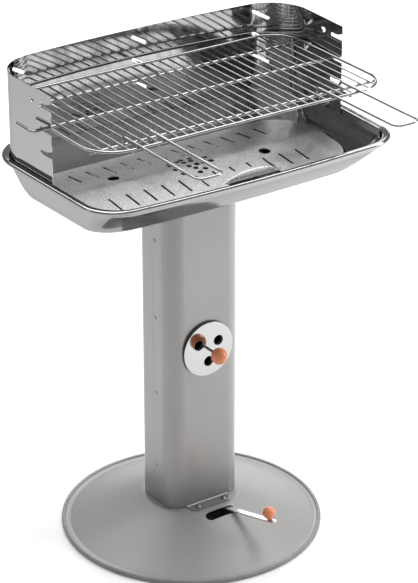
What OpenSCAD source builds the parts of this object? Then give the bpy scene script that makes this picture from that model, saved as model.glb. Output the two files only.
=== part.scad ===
// Free-standing charcoal barbecue on a single column.
// Origin: centre of the base on the ground. +Z up, +X along the bowl, -Y to the cook.

/* [Base] */
// Diameter of the base over its edging
base_d = 500; // [460:5:560]
// Height of the flat middle of the base, where the column stands
base_h = 61; // [52:1:70]
// Diameter of the flat middle of the base
base_flat_d = 184; // [180:1:200]
// Thickness of the base's steel sheet
base_sheet = 1.6; // [1.2:0.1:2.5]
// Height of the sheet's flat edge above the ground
base_edge_z = 4.5; // [3.5:0.5:6]
// Width of the flat edge outside the groove
base_flange_w = 13; // [11:1:18]
// Depth of the round groove pressed inside the edge
groove_depth = 1.4; // [0.8:0.2:2]
// Width of that groove
groove_w = 6; // [4:0.5:8]
// Width of the edging ring, seen from above
edging_w = 7; // [6:0.5:9]
// Height of the edging ring
edging_h = 9; // [8:0.5:12]
// Diameter of the air holes in the flat middle of the base
air_hole_d = 13; // [9:1:13]
// Radius of the circle of air holes
air_hole_ring_r = 31; // [30:1:32]

/* [Column] */
// Width of the column, left to right
column_w = 160; // [152:1:166]
// Depth of the column, front to back
column_d = 108; // [102:1:112]
// Radius of the column's front corners
column_front_r = 33; // [25:1:40]
// Radius of the column's rear corners
column_rear_r = 20; // [14:1:26]
// Thickness of the column's steel sheet
column_sheet = 1.5; // [1:0.1:2]
// Distance from the column's axis back to the seam between its shells
seam_y = 5; // [0:1:20]
// Length of the lap inside the seam
seam_lap = 14; // [10:1:18]
// Length of each foot tab, front to back
foot_tab_d = 25; // [24:1:26]
// Half of the width of each foot tab
foot_tab_half_w = 47; // [44:1:48]
// Distance from the column's face to the foot screws
foot_screw_out = 13; // [11:1:14]
// Height of the frame inside the head of the column
head_frame_h = 26; // [20:1:40]
// Width of the head frame's inward flange
head_flange_w = 20; // [18:1:22]

/* [Air vent] */
// Height of the vent's axis
vent_z = 388; // [300:1:450]
// Diameter of the vent disc
vent_d = 108; // [96:1:112]
// Thickness of the vent disc
vent_sheet = 1.5; // [1:0.1:2]
// Gap between the vent disc and the column
vent_standoff = 4.5; // [3:0.5:6]
// Diameter of the vent's air holes
vent_hole_d = 20; // [16:1:22]
// Distance from the vent's axis to each air hole
vent_hole_r = 25; // [22:1:28]
// Diameter of the vent spindle
spindle_d = 5; // [4:0.5:6]
// Diameter of the vent's wooden ball
vent_ball_d = 31; // [26:1:34]
// Distance from the disc's face to the middle of the ball
vent_ball_out = 35; // [30:1:42]

/* [Damper under the column] */
// Thickness of the damper plate
damper_sheet = 2.2; // [1.5:0.1:3]
// Thickness of the lever strip
lever_sheet = 2.5; // [2:0.1:3]
// Width of the lever strip
lever_w = 12; // [11:1:14]
// Distance from the column's axis to the lever's tip
lever_r = 214; // [190:1:225]
// Upward slope of the lever outside the slot, in degrees
lever_slope = 8.6; // [6:0.1:10]
// Half of the lever's swing, in degrees
lever_swing = 13.5; // [9:0.5:14]
// Width of the lever's slot
slot_w = 19; // [18:1:22]
// Diameter of the damper plate
damper_d = 96; // [90:1:104]
// Diameter of the damper's wooden ball
lever_ball_d = 24; // [20:1:28]
// Diameter of the damper's pivot bolt
pivot_d = 6; // [5:0.5:8]

/* [Bowl] */
// Height of the bowl's rim
rim_z = 790.5; // [760:0.5:830]
// Depth of the bowl from rim to floor
bowl_depth = 79.5; // [76:0.5:90]
// Half of the width of the bowl's mouth
mouth_half_w = 315; // [306:1:320]
// Distance from the column's axis to the front of the mouth
mouth_front = 217; // [210:1:230]
// Distance from the column's axis to the back of the mouth
mouth_rear = 168; // [160:1:175]
// How far the front of the bowl bows out
front_bow = 9; // [6:1:14]
// How far the back of the bowl bows out
rear_bow = 8; // [4:1:12]
// How much narrower each side is at the front corners
side_taper = 7; // [0:1:10]
// Radius of the mouth's front corners, across
front_corner_rx = 66; // [55:1:75]
// Radius of the mouth's front corners, front to back
front_corner_ry = 64; // [55:1:75]
// Radius of the mouth's rear corners
rear_corner_r = 82; // [70:1:90]
// Width of the rim's flange
rim_w = 14; // [12:1:20]
// Height of the rolled edge of the rim
rim_roll_h = 8; // [6:0.5:10]
// Height of the upright lip under the rim
lip_h = 15; // [12:1:18]
// Thickness of the bowl's steel sheet
bowl_sheet = 1.2; // [1:0.1:1.6]
// Width of the ash opening in the bowl's floor
duct_w = 92; // [80:1:96]
// Depth of the ash opening in the bowl's floor
duct_d = 42; // [36:1:44]

/* [Charcoal plate] */
// Width of the charcoal plate
plate_w = 578; // [560:1:580]
// Depth of the charcoal plate
plate_d = 242; // [230:1:246]
// Height of the plate's ridge above the bowl's floor
ridge_h = 27; // [24:0.5:34]
// Slope of each half of the plate, in degrees
plate_slope = 5.5; // [3:0.5:6]
// Radius of the plate's corners
plate_corner_r = 66; // [60:1:75]
// Thickness of the charcoal plate
plate_sheet = 1.2; // [1:0.1:1.6]
// Spacing of the plate's slots
plate_slot_pitch = 36.7; // [34:0.1:38]
// Length of the plate's slots
plate_slot_l = 46; // [40:1:50]
// Width of the plate's slots
plate_slot_w = 4.5; // [3.5:0.5:6]
// Distance from the ridge to the near end of the slots
plate_slot_in = 44; // [42:1:48]
// Length of the short slots beside the lip
short_slot_l = 20; // [16:1:22]
// Diameter of the two finger holes
finger_hole_d = 22; // [18:1:26]
// Sideways distance of the finger holes from the middle
finger_hole_x = 148; // [146:1:150]
// Length of the bent-up lifting lip
lift_lip_l = 132; // [110:1:140]
// Height of the lifting lip
lift_lip_h = 15; // [12:1:18]

/* [Windshield] */
// Height of the top of the windshield
shield_top_z = 949; // [930:1:970]
// Distance from the column's axis to the windshield's front edges
shield_front = 39; // [34:1:46]
// Thickness of the windshield's sheet
shield_sheet = 1.2; // [1:0.1:1.6]
// Height of the lowest grill level
level_low_z = 837.5; // [832:0.5:842]
// Spacing of the grill levels
level_pitch = 43.5; // [40:0.5:45]
// Height of the notches
notch_h = 7.5; // [7:0.5:9]
// Length of the notches
notch_l = 36; // [32:1:40]
// Height of a notch's open mouth
notch_mouth_h = 14; // [11:1:16]
// Length of the slanting slots in the back
back_slot_l = 36; // [30:1:40]
// Width of the slanting slots in the back
back_slot_w = 6; // [5.5:0.5:8]
// Diameter of the spit holes
spit_hole_d = 10; // [8:1:12]

/* [Cooking grill] */
// Diameter of the grill's frame wire
frame_wire_d = 5.5; // [5:0.5:6]
// Diameter of the grill's long wires
grill_wire_d = 3.2; // [2.8:0.2:3.6]
// Diameter of the cross rods
rod_d = 6; // [5:0.5:6.5]
// Half of the width of the grill, to the frame wire's middle
grill_half_w = 306; // [300:1:308]
// Distance from the column's axis to the grill's front bar
grill_front = 189; // [185:1:200]
// Distance from the column's axis to the grill's rear bar
grill_rear = 147; // [140:1:150]
// Radius of the grill's front corners
grill_front_r = 66; // [58:1:72]
// Radius of the grill's rear corners
grill_rear_r = 60; // [58:1:66]
// Number of long wires
grill_wires_n = 30; // [26:2:30]
// Spacing of the long wires
grill_pitch = 19.5; // [18:0.1:19.5]
// Distance in front of the column's axis of the middle cross rod
middle_rod_y = 12; // [10:1:16]
// Distance in front of the column's axis of the front cross rod
front_rod_y = 150; // [146:1:156]
// Distance behind the column's axis of the rear cross rod
rear_rod_y = 92; // [80:1:100]
// How far the hooks stand outside the windshield
hook_out = 19; // [14:1:22]
// Length of the hooks, front to back
hook_l = 50; // [40:1:60]

/* [Grill handles] */
// Diameter of the handle wire
handle_wire_d = 5; // [4.5:0.5:5.5]
// Distance from the column's axis to the handles' tips
handle_reach = 368; // [340:1:400]
// Radius of the corners at a handle's tip
handle_tip_r = 15; // [12:1:20]
// Radius of the hooks at the rear of the handles
handle_hook_r = 9; // [9:0.5:10]

/* [Fasteners] */
// Thread diameter of all screws
screw_d = 5; // [4:0.5:5]
// Diameter of the screw heads
screw_head_d = 10; // [8:0.5:10]
// Height of the screw heads
screw_head_h = 3; // [2.5:0.5:4]
// Height of the nuts
nut_h = 4; // [3:0.5:5]
// Width of the nuts across their flats
nut_w = 8; // [7:0.5:9]

/* [Hidden] */
$fn = 48;
// Gap between pieces that are screwed or laid together
seat_gap = 0.3;
// Gap between wires that are welded together
weld_gap = 0.05;
// Gap round a shaft that turns in a hole
running_gap = 0.05;
// How far cutters run past what they cut
cut_over = 2;
// Radius that softens small outer corners
soft_r = 3;

column_base_z = base_h;
floor_z = rim_z - bowl_depth;
column_top_z = floor_z;
inner_floor_z = floor_z + bowl_sheet;
ridge_z = inner_floor_z + ridge_h;
ball_flat_share = 0.94;

base_edge_r = base_d / 2 - edging_w / 2;
base_groove_r = base_d / 2 - base_flange_w - groove_w / 2;
base_slope = (base_h - base_edge_z - base_sheet)
    / (base_groove_r - groove_w / 2 - base_flat_d / 2);

vent_face_y = -column_d / 2 - vent_standoff - vent_sheet;
vent_ball_y = vent_face_y - vent_ball_out;
vent_hole_angles = [30, 150, 270];

lever_z = base_h - base_sheet - seat_gap - damper_sheet - lever_sheet;
slot_r = base_flat_d / 2 + slot_w / 2 - soft_r / 3;
lever_flat_r = slot_r;
slot_half_l = slot_r * sin(lever_swing) + lever_w / 2 + soft_r;
lever_ball_out = lever_r - lever_flat_r - lever_w;

middle_level_z = level_low_z + level_pitch;
rod_z = middle_level_z - notch_h / 2 + seat_gap + rod_d / 2;
frame_z = rod_z + rod_d / 2 + frame_wire_d / 2 + weld_gap;
wire_z = rod_z + rod_d / 2 + grill_wire_d / 2 + weld_gap;
leg_z = frame_z + frame_wire_d / 2 + handle_wire_d / 2 + seat_gap;

shield_in = seat_gap * 3;
shield_bottom_z = rim_z - lip_h + seat_gap * 4;
shield_screw_z = rim_z - bowl_sheet * 3 - seat_gap - screw_head_d / 2;
shield_screw_y = [seam_y, seam_y + rear_corner_r / 2];
hook_x = mouth_half_w - shield_in + hook_out;
hook_bend_r = rod_d + soft_r;
// Both legs of a handle lie between two long wires
handle_x = grill_pitch * 10.45;
handle_gap = grill_pitch * 2.65;

// Small helpers

// A rod that lies along X, Y or Z between two places
module bar_x(x0, x1, y, z, d) {
    translate([min(x0, x1), y, z])
        rotate([0, 90, 0])
            cylinder(d = d, h = abs(x1 - x0));
}

module bar_y(y0, y1, x, z, d) {
    translate([x, max(y0, y1), z])
        rotate([90, 0, 0])
            cylinder(d = d, h = abs(y1 - y0));
}

module bar_z(z0, z1, x, y, d) {
    translate([x, y, min(z0, z1)])
        cylinder(d = d, h = abs(z1 - z0));
}

// A bend of round wire in a level plane, from angle a0 over a turn
module flat_bend(x, y, z, r, a0, turn, d) {
    translate([x, y, z])
        rotate([0, 0, a0])
            rotate_extrude(angle = turn)
                translate([r, 0])
                    circle(d = d);
}

// A block with its low and high corners given
module block(low, high) {
    translate(low)
        cube(high - low);
}

// An upright hole or pad with round ends that lies along X
module stadium_x(l, w, h) {
    straight = l - w;
    translate([-straight / 2, -w / 2, 0])
        cube([straight, w, h]);
    for (side = [-1, 1])
        translate([side * straight / 2, 0, 0])
            cylinder(d = w, h = h);
}

// Hexagon nut with a plain bore, on the XY plane
module hex_nut(bore) {
    difference() {
        cylinder(d = nut_w / cos(30), h = nut_h, $fn = 6);
        translate([0, 0, -cut_over])
            cylinder(d = bore, h = nut_h + cut_over * 2);
    }
}

// Screw with a low round head above the XY plane and its shank below
module screw(shank) {
    translate([0, 0, -shank])
        cylinder(d = screw_d, h = shank);
    intersection() {
        cylinder(d = screw_head_d, h = screw_head_h);
        translate([0, 0, screw_head_h - screw_head_d])
            sphere(r = screw_head_d);
    }
}

// Rectangle with its own radius at the front and at the rear corners
module column_outline(inset) {
    rf = column_front_r - inset;
    rr = column_rear_r - inset;
    half_w = column_w / 2 - inset;
    half_d = column_d / 2 - inset;
    for (side = [-1, 1]) {
        translate([side * (half_w - rf), rf - half_d])
            circle(r = rf);
        translate([side * (half_w - rr), half_d - rr])
            circle(r = rr);
    }
    translate([rf - half_w, -half_d])
        square([(half_w - rf) * 2, rf]);
    translate([rr - half_w, half_d - rr])
        square([(half_w - rr) * 2, rr]);
    translate([-half_w, rf - half_d])
        square([half_w * 2, half_d * 2 - rf - rr]);
}

// Bowl outlines
// Quarter turn of an ellipse between two angles
function arc_points(cx, cy, rx, ry, a0, a1, n) =
    [for (i = [0:n]) let (a = a0 + (a1 - a0) * i / n) [cx + rx * cos(a), cy + ry * sin(a)]];

// Right half of an outline, from the middle of the front to the middle of the back.
// The front and back bow out, and the corners meet them along one tangent.
function half_outline(half_w, taper, front, rear, frx, fry, rr, fbow, rbow, n) =
    let (cx = half_w - taper - frx)
    let (front_turn = atan(2 * fbow / cx * frx / fry))
    let (rear_turn = atan(2 * rbow / (half_w - rr)))
    let (front_x = cx + frx * sin(front_turn))
    let (rear_x = half_w - rr + rr * sin(rear_turn))
    concat(
        [for (i = [0:n - 1]) [front_x * i / n, -front + fbow * pow(i / n, 2)]],
        arc_points(cx, -front + fbow + fry * cos(front_turn), frx, fry,
                   -90 + front_turn, 0, n),
        arc_points(half_w - rr, rear - rbow - rr * cos(rear_turn), rr, rr,
                   0, 90 - rear_turn, n),
        [for (i = [n - 1:-1:0]) [rear_x * i / n, rear - rbow * pow(i / n, 2)]]);

// The whole outline, with the left half mirrored from the right
function whole_outline(half) =
    concat(half, [for (i = [len(half) - 2:-1:1]) [-half[i][0], half[i][1]]]);

// One level of the bowl: how far it lies inside the mouth at the sides, front and back
function bowl_ring(z, side_in, front_in, rear_in) =
    let (frx = front_corner_rx - side_in + front_in * front_pull_share)
    let (fry = front_corner_ry - front_in * front_shrink_share)
    let (rr = rear_corner_r - side_in)
    let (fbow = front_bow - front_in * bow_shrink_share)
    [for (p = whole_outline(half_outline(mouth_half_w - side_in, side_taper,
         mouth_front - front_in, mouth_rear - rear_in, frx, fry, rr, fbow, rear_bow,
         ring_n)))
        [p[0], p[1], z]];

// A level of the rim, a distance outside the mouth. The front of the rim is narrower
function rim_ring(z, out) = bowl_ring(z, -out, -out * rim_front_share, -out);

// How the corners and the bow change towards the floor
front_pull_share = 0.45;
front_shrink_share = 0.2;
bow_shrink_share = 0.05;
rim_front_share = 0.75;
ring_n = 7;

// The wall's section: share of the depth below the lip, then shares of the three insets
wall_shares = [
    [0.00, 0.00, 0.00, 0.00],
    [0.15, 0.05, 0.11, 0.15],
    [0.30, 0.09, 0.23, 0.31],
    [0.54, 0.17, 0.43, 0.56],
    [0.69, 0.27, 0.56, 0.69],
    [0.82, 0.40, 0.67, 0.78],
    [0.92, 0.58, 0.77, 0.86],
    [0.98, 0.78, 0.88, 0.93],
    [1.00, 1.00, 1.00, 1.00]];
// Insets of the floor from the mouth at the sides, the front and the back
floor_side_in = 48;
floor_front_in = 90;
floor_rear_in = 54;

// Wall rings from lip to floor. A thickness of 0 gives the inner face
function wall_rings(t) =
    let (drop = bowl_depth - lip_h - bowl_sheet + t)
    [for (s = wall_shares)
        bowl_ring(rim_z - lip_h - drop * s[0],
                  floor_side_in * s[1] - t, floor_front_in * s[2] - t,
                  floor_rear_in * s[3] - t)];

function flip(list) = [for (i = [len(list) - 1:-1:0]) list[i]];

// Section of the rim, from the lip's top outwards and back under itself
function rim_rings() =
    let (roll_r = rim_roll_h / 2)
    let (out = rim_w - roll_r)
    concat(
        [for (a = [0:30:90])
            rim_ring(rim_z - roll_r * (1 - sin(a)), roll_r * (1 - cos(a)))],
        [for (a = [90:-30:-90])
            rim_ring(rim_z - roll_r * (1 - sin(a)), out + roll_r * cos(a))],
        [rim_ring(rim_z - rim_roll_h, out - roll_r * 0.8)],
        [for (o = [out - roll_r * 0.8, bowl_sheet * 2.5])
            rim_ring(rim_z - bowl_sheet * 2, o)],
        [bowl_ring(rim_z - bowl_sheet * 3, -bowl_sheet, -bowl_sheet, -bowl_sheet)]);

module bowl_shell() {
    rings = concat(flip(wall_rings(0)), rim_rings(), wall_rings(bowl_sheet));
    n = len(rings[0]);
    last = len(rings) - 1;
    points = [for (ring = rings) each ring];
    sides = [for (k = [0:last - 1], i = [0:n - 1])
        let (a = k * n + i)
        let (b = k * n + (i + 1) % n)
        each [[a, b, b + n], [a, b + n, a + n]]];
    polyhedron(points = points, convexity = 6,
        faces = concat([flip([for (i = [0:n - 1]) i])], sides,
                       [[for (i = [0:n - 1]) last * n + i]]));
}

// Base

module base_disc() {
    edge_low = base_edge_z;
    edge_high = base_edge_z + base_sheet;
    groove_in = base_groove_r - groove_w / 2;
    groove_out = base_groove_r + groove_w / 2;
    flat_r = base_flat_d / 2;
    color([0.60, 0.59, 0.58])
    difference() {
        rotate_extrude($fn = 120)
            polygon([[0, base_h], [flat_r, base_h], [groove_in, edge_high],
                     [base_groove_r, edge_high - groove_depth], [groove_out, edge_high],
                     [base_edge_r, edge_high], [base_edge_r, edge_low],
                     [groove_out, edge_low], [base_groove_r, edge_low - groove_depth],
                     [groove_in, edge_low], [flat_r, base_h - base_sheet],
                     [0, base_h - base_sheet]]);
        // Slot for the damper lever
        translate([0, -slot_r, base_edge_z])
            stadium_x(slot_half_l * 2, slot_w, base_h);
        // Pivot hole
        translate([0, 0, base_edge_z])
            cylinder(d = pivot_d + seat_gap, h = base_h);
        // Air holes over the damper plate
        air_hole_places()
            cylinder(d = air_hole_d, h = base_h * 2);
        // Holes for the foot screws
        foot_places()
            translate([0, 0, base_edge_z])
                cylinder(d = screw_d + seat_gap, h = base_h);
    }
}

module base_edging() {
    inner = base_d / 2 - edging_w;
    color([0.55, 0.54, 0.53])
    rotate_extrude($fn = 120)
        difference() {
            union() {
                translate([inner, 0])
                    square([edging_w - soft_r, edging_h]);
                translate([base_d / 2 - soft_r, soft_r])
                    circle(r = soft_r, $fn = 24);
                translate([base_d / 2 - soft_r, edging_h - soft_r])
                    circle(r = soft_r, $fn = 24);
                translate([base_d / 2 - soft_r, soft_r])
                    square([soft_r, edging_h - soft_r * 2]);
                translate([base_d / 2 - soft_r, 0])
                    square([seat_gap, edging_h]);
            }
            translate([inner - cut_over, base_edge_z - seat_gap / 2])
                square([cut_over + base_edge_r + seat_gap / 2 - inner, base_sheet + seat_gap]);
        }
}

// Column

// The foot screws stand clear of the damper lever's swing
foot_screw_y = column_d / 2 + foot_screw_out;
foot_screw_x = foot_screw_y * tan(lever_swing) + lever_w / 2 / cos(lever_swing)
    + nut_w / 2 / cos(30) + cut_over;

// Repeats its children at the four foot screws
module foot_places() {
    for (side = [-1, 1], face = [-1, 1])
        translate([side * foot_screw_x, face * foot_screw_y, 0])
            children();
}

// A foot tab, bent outwards from the face of a shell
module foot_tab(face) {
    corner_r = foot_tab_d * 0.6;
    near = column_d / 2 - column_sheet;
    far = column_d / 2 + foot_tab_d;
    scale([1, face, 1])
    difference() {
        union() {
            block([-foot_tab_half_w, near, column_base_z],
                  [foot_tab_half_w, far - corner_r, column_base_z + column_sheet]);
            block([corner_r - foot_tab_half_w, near, column_base_z],
                  [foot_tab_half_w - corner_r, far, column_base_z + column_sheet]);
            for (side = [-1, 1])
                bar_z(column_base_z, column_base_z + column_sheet,
                      side * (foot_tab_half_w - corner_r), far - corner_r, corner_r * 2);
        }
        for (side = [-1, 1])
            bar_z(column_base_z - cut_over, column_base_z + column_sheet + cut_over,
                  side * foot_screw_x, foot_screw_y, screw_d + seat_gap);
    }
}

module column_tube() {
    translate([0, 0, column_base_z])
        linear_extrude(height = column_top_z - column_base_z)
            difference() {
                column_outline(0);
                column_outline(column_sheet);
            }
}

// Heights of the screws that hold the two shells together
seam_screw_zs = [for (i = [0:3])
    column_base_z + (column_top_z - column_base_z) * (0.12 + 0.24 * i)];
seam_screw_y = seam_y - seam_lap / 2;
inner_half_w = column_w / 2 - column_sheet;

module column_front() {
    color([0.62, 0.61, 0.60])
    difference() {
        union() {
            intersection() {
                column_tube();
                block([-column_w, -column_d, 0], [column_w, seam_y, rim_z]);
            }
            foot_tab(-1);
        }
        // Air holes behind the vent disc
        for (a = vent_hole_angles)
            bar_y(-column_d, 0, vent_hole_r * cos(a), vent_z + vent_hole_r * sin(a),
                  vent_hole_d);
        bar_y(-column_d, 0, 0, vent_z, spindle_d + running_gap * 2);
        for (z = seam_screw_zs)
            bar_x(-column_w, column_w, seam_screw_y, z, screw_d + seat_gap);
    }
}

module column_rear() {
    lap_out = inner_half_w - seat_gap;
    color([0.60, 0.59, 0.58])
    difference() {
        union() {
            intersection() {
                column_tube();
                block([-column_w, seam_y + seat_gap, 0], [column_w, column_d, rim_z]);
            }
            foot_tab(1);
            // Laps that go inside the front shell, and the steps that carry them
            for (side = [-1, 1])
                scale([side, 1, 1]) {
                    block([lap_out - column_sheet, seam_y - seam_lap, column_base_z],
                          [lap_out, seam_y + column_sheet * 2, column_top_z]);
                    block([lap_out - column_sheet, seam_y + seat_gap, column_base_z],
                          [inner_half_w + column_sheet / 2, seam_y + column_sheet * 2,
                           column_top_z]);
                }
        }
        for (z = seam_screw_zs)
            bar_x(-column_w, column_w, seam_screw_y, z, screw_d);
    }
}

module column_head_frame() {
    gap = column_sheet * 2 + seat_gap * 2;
    flange_z = column_top_z - column_sheet;
    color([0.45, 0.45, 0.46])
    difference() {
        translate([0, 0, column_top_z - head_frame_h])
            linear_extrude(height = head_frame_h)
                difference() {
                    intersection() {
                        column_outline(column_sheet + seat_gap);
                        square([(inner_half_w - gap) * 2, column_d], center = true);
                    }
                    square([(inner_half_w - gap - head_flange_w) * 2,
                            column_d - (column_sheet + seat_gap + head_flange_w) * 2],
                           center = true);
                }
        // Only the top flange and the upright sides are left
        translate([0, 0, column_top_z - head_frame_h - cut_over])
            linear_extrude(height = head_frame_h - column_sheet + cut_over)
                square([(inner_half_w - gap - column_sheet) * 2,
                        column_d - (column_sheet * 2 + seat_gap) * 2], center = true);
        head_places()
            translate([0, 0, flange_z - cut_over])
                cylinder(d = screw_d + seat_gap, h = column_sheet + cut_over * 2);
    }
}

// Repeats its children at the four bolts through the bowl's floor
module head_places() {
    x = inner_half_w - column_sheet * 2 - head_flange_w / 2;
    y = column_d / 2 - column_sheet * 2 - head_flange_w / 2;
    for (side = [-1, 1], face = [-1, 1])
        translate([side * (x - screw_d / 2), face * (y - screw_d / 4), 0])
            children();
}

module foot_screws() {
    color([0.78, 0.78, 0.80])
    foot_places()
        translate([0, 0, column_base_z + column_sheet])
            screw(base_sheet + column_sheet + nut_h + soft_r);
}

module foot_nuts() {
    color([0.70, 0.70, 0.72])
    foot_places()
        translate([0, 0, column_base_z - base_sheet - nut_h])
            hex_nut(screw_d + running_gap * 2);
}

module seam_screws() {
    color([0.78, 0.78, 0.80])
    for (side = [-1, 1], z = seam_screw_zs)
        translate([side * column_w / 2, seam_screw_y, z])
            rotate([0, side * 90, 0])
                screw_low(column_sheet * 3);
}

// Flat-headed screw used where it should hardly show
module screw_low(shank) {
    translate([0, 0, -shank])
        cylinder(d = screw_d - running_gap * 2, h = shank);
    cylinder(d1 = screw_head_d * 0.8, d2 = screw_head_d * 0.6, h = screw_head_h / 3);
}

module head_bolts() {
    color([0.78, 0.78, 0.80])
    head_places()
        translate([0, 0, inner_floor_z])
            screw(bowl_sheet + column_sheet + nut_h + soft_r);
}

module head_nuts() {
    color([0.70, 0.70, 0.72])
    head_places()
        translate([0, 0, column_top_z - column_sheet - nut_h])
            hex_nut(screw_d + running_gap * 2);
}

// Damper

module damper_pivot() {
    color([0.75, 0.75, 0.77])
    translate([0, 0, base_h])
        union() {
            cylinder(d = screw_head_d * 1.2, h = screw_head_h);
            translate([0, 0, -pivot_shank])
                cylinder(d = pivot_d, h = pivot_shank);
        }
}

pivot_shank = base_h - lever_z + nut_h + soft_r;

module damper_pivot_nut() {
    color([0.70, 0.70, 0.72])
    translate([0, 0, lever_z - seat_gap - nut_h])
        difference() {
            cylinder(d = nut_w * 1.3 / cos(30), h = nut_h, $fn = 6);
            translate([0, 0, -cut_over])
                cylinder(d = pivot_d + running_gap * 2, h = nut_h + cut_over * 2);
        }
}

module damper_plate() {
    z0 = lever_z + lever_sheet;
    color([0.66, 0.66, 0.68])
    difference() {
        translate([0, 0, z0])
            cylinder(d = damper_d, h = base_h - base_sheet - seat_gap - z0, $fn = 96);
        air_hole_places()
            cylinder(d = air_hole_d, h = base_h * 2);
        cylinder(d = pivot_d + running_gap * 2, h = base_h);
        rivet_places()
            cylinder(d = screw_d - running_gap, h = base_h);
    }
}

// Turns its children to the lever's rest, at the right end of the slot
module at_lever() {
    rotate([0, 0, lever_swing])
        children();
}

// Repeats its children at the air holes, which line up with the damper's at rest
module air_hole_places() {
    at_lever()
        for (i = [0:air_holes_n - 1])
            rotate([0, 0, i * 360 / air_holes_n])
                translate([air_hole_ring_r, 0, 0])
                    children();
}

air_holes_n = 6;
lever_slope_l = (lever_r - lever_flat_r) / cos(lever_slope);

// Places its children on the rising part of the lever, whose underside is their XY plane
module on_lever_slope() {
    translate([0, -lever_flat_r, lever_z])
        rotate([-lever_slope, 0, 0])
            children();
}

module rivet_places() {
    at_lever()
        for (y = [damper_d * 0.18, damper_d * 0.42])
            translate([0, -y, 0])
                children();
}

module damper_lever() {
    color([0.80, 0.80, 0.81])
    difference() {
        at_lever()
            union() {
                block([-lever_w / 2, -lever_flat_r, lever_z],
                      [lever_w / 2, 0, lever_z + lever_sheet]);
                bar_z(lever_z, lever_z + lever_sheet, 0, 0, lever_w);
                on_lever_slope()
                    union() {
                        translate([-lever_w / 2, lever_w / 4 - lever_slope_l, 0])
                            cube([lever_w, lever_slope_l, lever_sheet]);
                        translate([-lever_w / 4, -lever_slope_l, 0])
                            cube([lever_w / 2, lever_w / 4, lever_sheet]);
                        for (side = [-1, 1])
                            translate([side * lever_w / 4, lever_w / 4 - lever_slope_l, 0])
                                cylinder(d = lever_w / 2, h = lever_sheet);
                    }
            }
        cylinder(d = pivot_d + running_gap * 2, h = base_h);
        rivet_places()
            cylinder(d = screw_d - running_gap, h = base_h);
        at_lever()
            on_lever_slope()
                translate([0, -lever_ball_out, -cut_over])
                    cylinder(d = screw_d + running_gap * 2, h = lever_sheet + cut_over * 2);
    }
}

module damper_rivets() {
    color([0.74, 0.74, 0.76])
    rivet_places() {
        translate([0, 0, lever_z])
            cylinder(d = screw_d - running_gap * 3, h = lever_sheet + base_sheet / 2);
        translate([0, 0, lever_z - screw_head_h / 2])
            cylinder(d1 = screw_head_d * 0.5, d2 = screw_head_d * 0.8, h = screw_head_h / 2);
    }
}

module damper_knob() {
    neck_h = soft_r;
    color([0.80, 0.47, 0.32])
    at_lever()
        on_lever_slope()
            translate([0, -lever_ball_out, lever_sheet])
                union() {
                    cylinder(d = lever_ball_d * 0.42, h = lever_ball_d / 2);
                    translate([0, 0, neck_h + lever_ball_d / 2 * ball_flat_share])
                        sphere(d = lever_ball_d);
                    translate([0, 0, -lever_sheet - screw_head_h / 2])
                        cylinder(d = screw_d, h = lever_sheet + screw_head_h);
                }
}

// Vent

// Turns its children so that their Z axis points to the cook, on the vent's axis
module on_vent(y) {
    translate([0, y, vent_z])
        rotate([90, 0, 0])
            children();
}

module vent_disc() {
    color([0.86, 0.86, 0.87])
    on_vent(vent_face_y + vent_sheet)
        difference() {
            cylinder(d = vent_d, h = vent_sheet, $fn = 120);
            for (a = vent_hole_angles)
                rotate([0, 0, a])
                    translate([vent_hole_r, 0, -cut_over])
                        cylinder(d = vent_hole_d, h = vent_sheet + cut_over * 2);
            translate([0, 0, -cut_over])
                cylinder(d = spindle_d + running_gap * 2, h = vent_sheet + cut_over * 2);
        }
}

spindle_in = column_sheet + nut_h * 3;

module vent_spindle() {
    color([0.82, 0.82, 0.84])
    union() {
        bar_y(vent_ball_y + vent_ball_d / 4, spindle_in - column_d / 2, 0, vent_z,
              spindle_d);
        // Shoulder that spaces the disc off the column
        bar_y(vent_face_y + vent_sheet, -column_d / 2 - seat_gap, 0, vent_z,
              spindle_d * 2);
    }
}

module vent_washer() {
    color([0.70, 0.70, 0.72])
    on_vent(seat_gap + column_sheet * 2 - column_d / 2 + soft_r / 4)
        difference() {
            cylinder(d = screw_head_d * 1.5, h = column_sheet);
            translate([0, 0, -cut_over])
                cylinder(d = spindle_d + running_gap * 2, h = column_sheet + cut_over * 2);
        }
}

module vent_nut() {
    color([0.70, 0.70, 0.72])
    on_vent(seat_gap * 2 + column_sheet * 2 - column_d / 2 + soft_r / 4 + nut_h)
        hex_nut(spindle_d + running_gap * 2);
}

module vent_knob() {
    color([0.80, 0.47, 0.32])
    difference() {
        translate([0, vent_ball_y, vent_z])
            sphere(d = vent_ball_d, $fn = 64);
        bar_y(vent_ball_y + vent_ball_d / 4, vent_face_y, 0, vent_z,
              spindle_d + running_gap * 2);
    }
}

// Bowl

module bowl() {
    color([0.74, 0.75, 0.76])
    difference() {
        bowl_shell();
        // Ash opening over the column
        translate([0, 0, floor_z - cut_over])
            linear_extrude(height = bowl_sheet + cut_over * 2)
                square([duct_w, duct_d], center = true);
        head_places()
            translate([0, 0, floor_z - cut_over])
                cylinder(d = screw_d + seat_gap, h = bowl_sheet + cut_over * 2);
        shield_screw_places()
            translate([0, 0, -cut_over * 2])
                cylinder(d = screw_d + seat_gap, h = cut_over * 4);
    }
}

// Charcoal plate

plate_half_d = plate_d / 2;
slot_xs = [for (i = [-6:5]) (i + 0.5) * plate_slot_pitch];
lip_y = plate_slot_in + plate_slot_l + plate_slot_w;
lip_x = lift_lip_l / 2 + soft_r * 2;
// Slots that are short because the lifting lip stands in front of them
function is_short(x) = x > 0 && x < lip_x + lift_lip_l / 2 - plate_slot_pitch;

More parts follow.
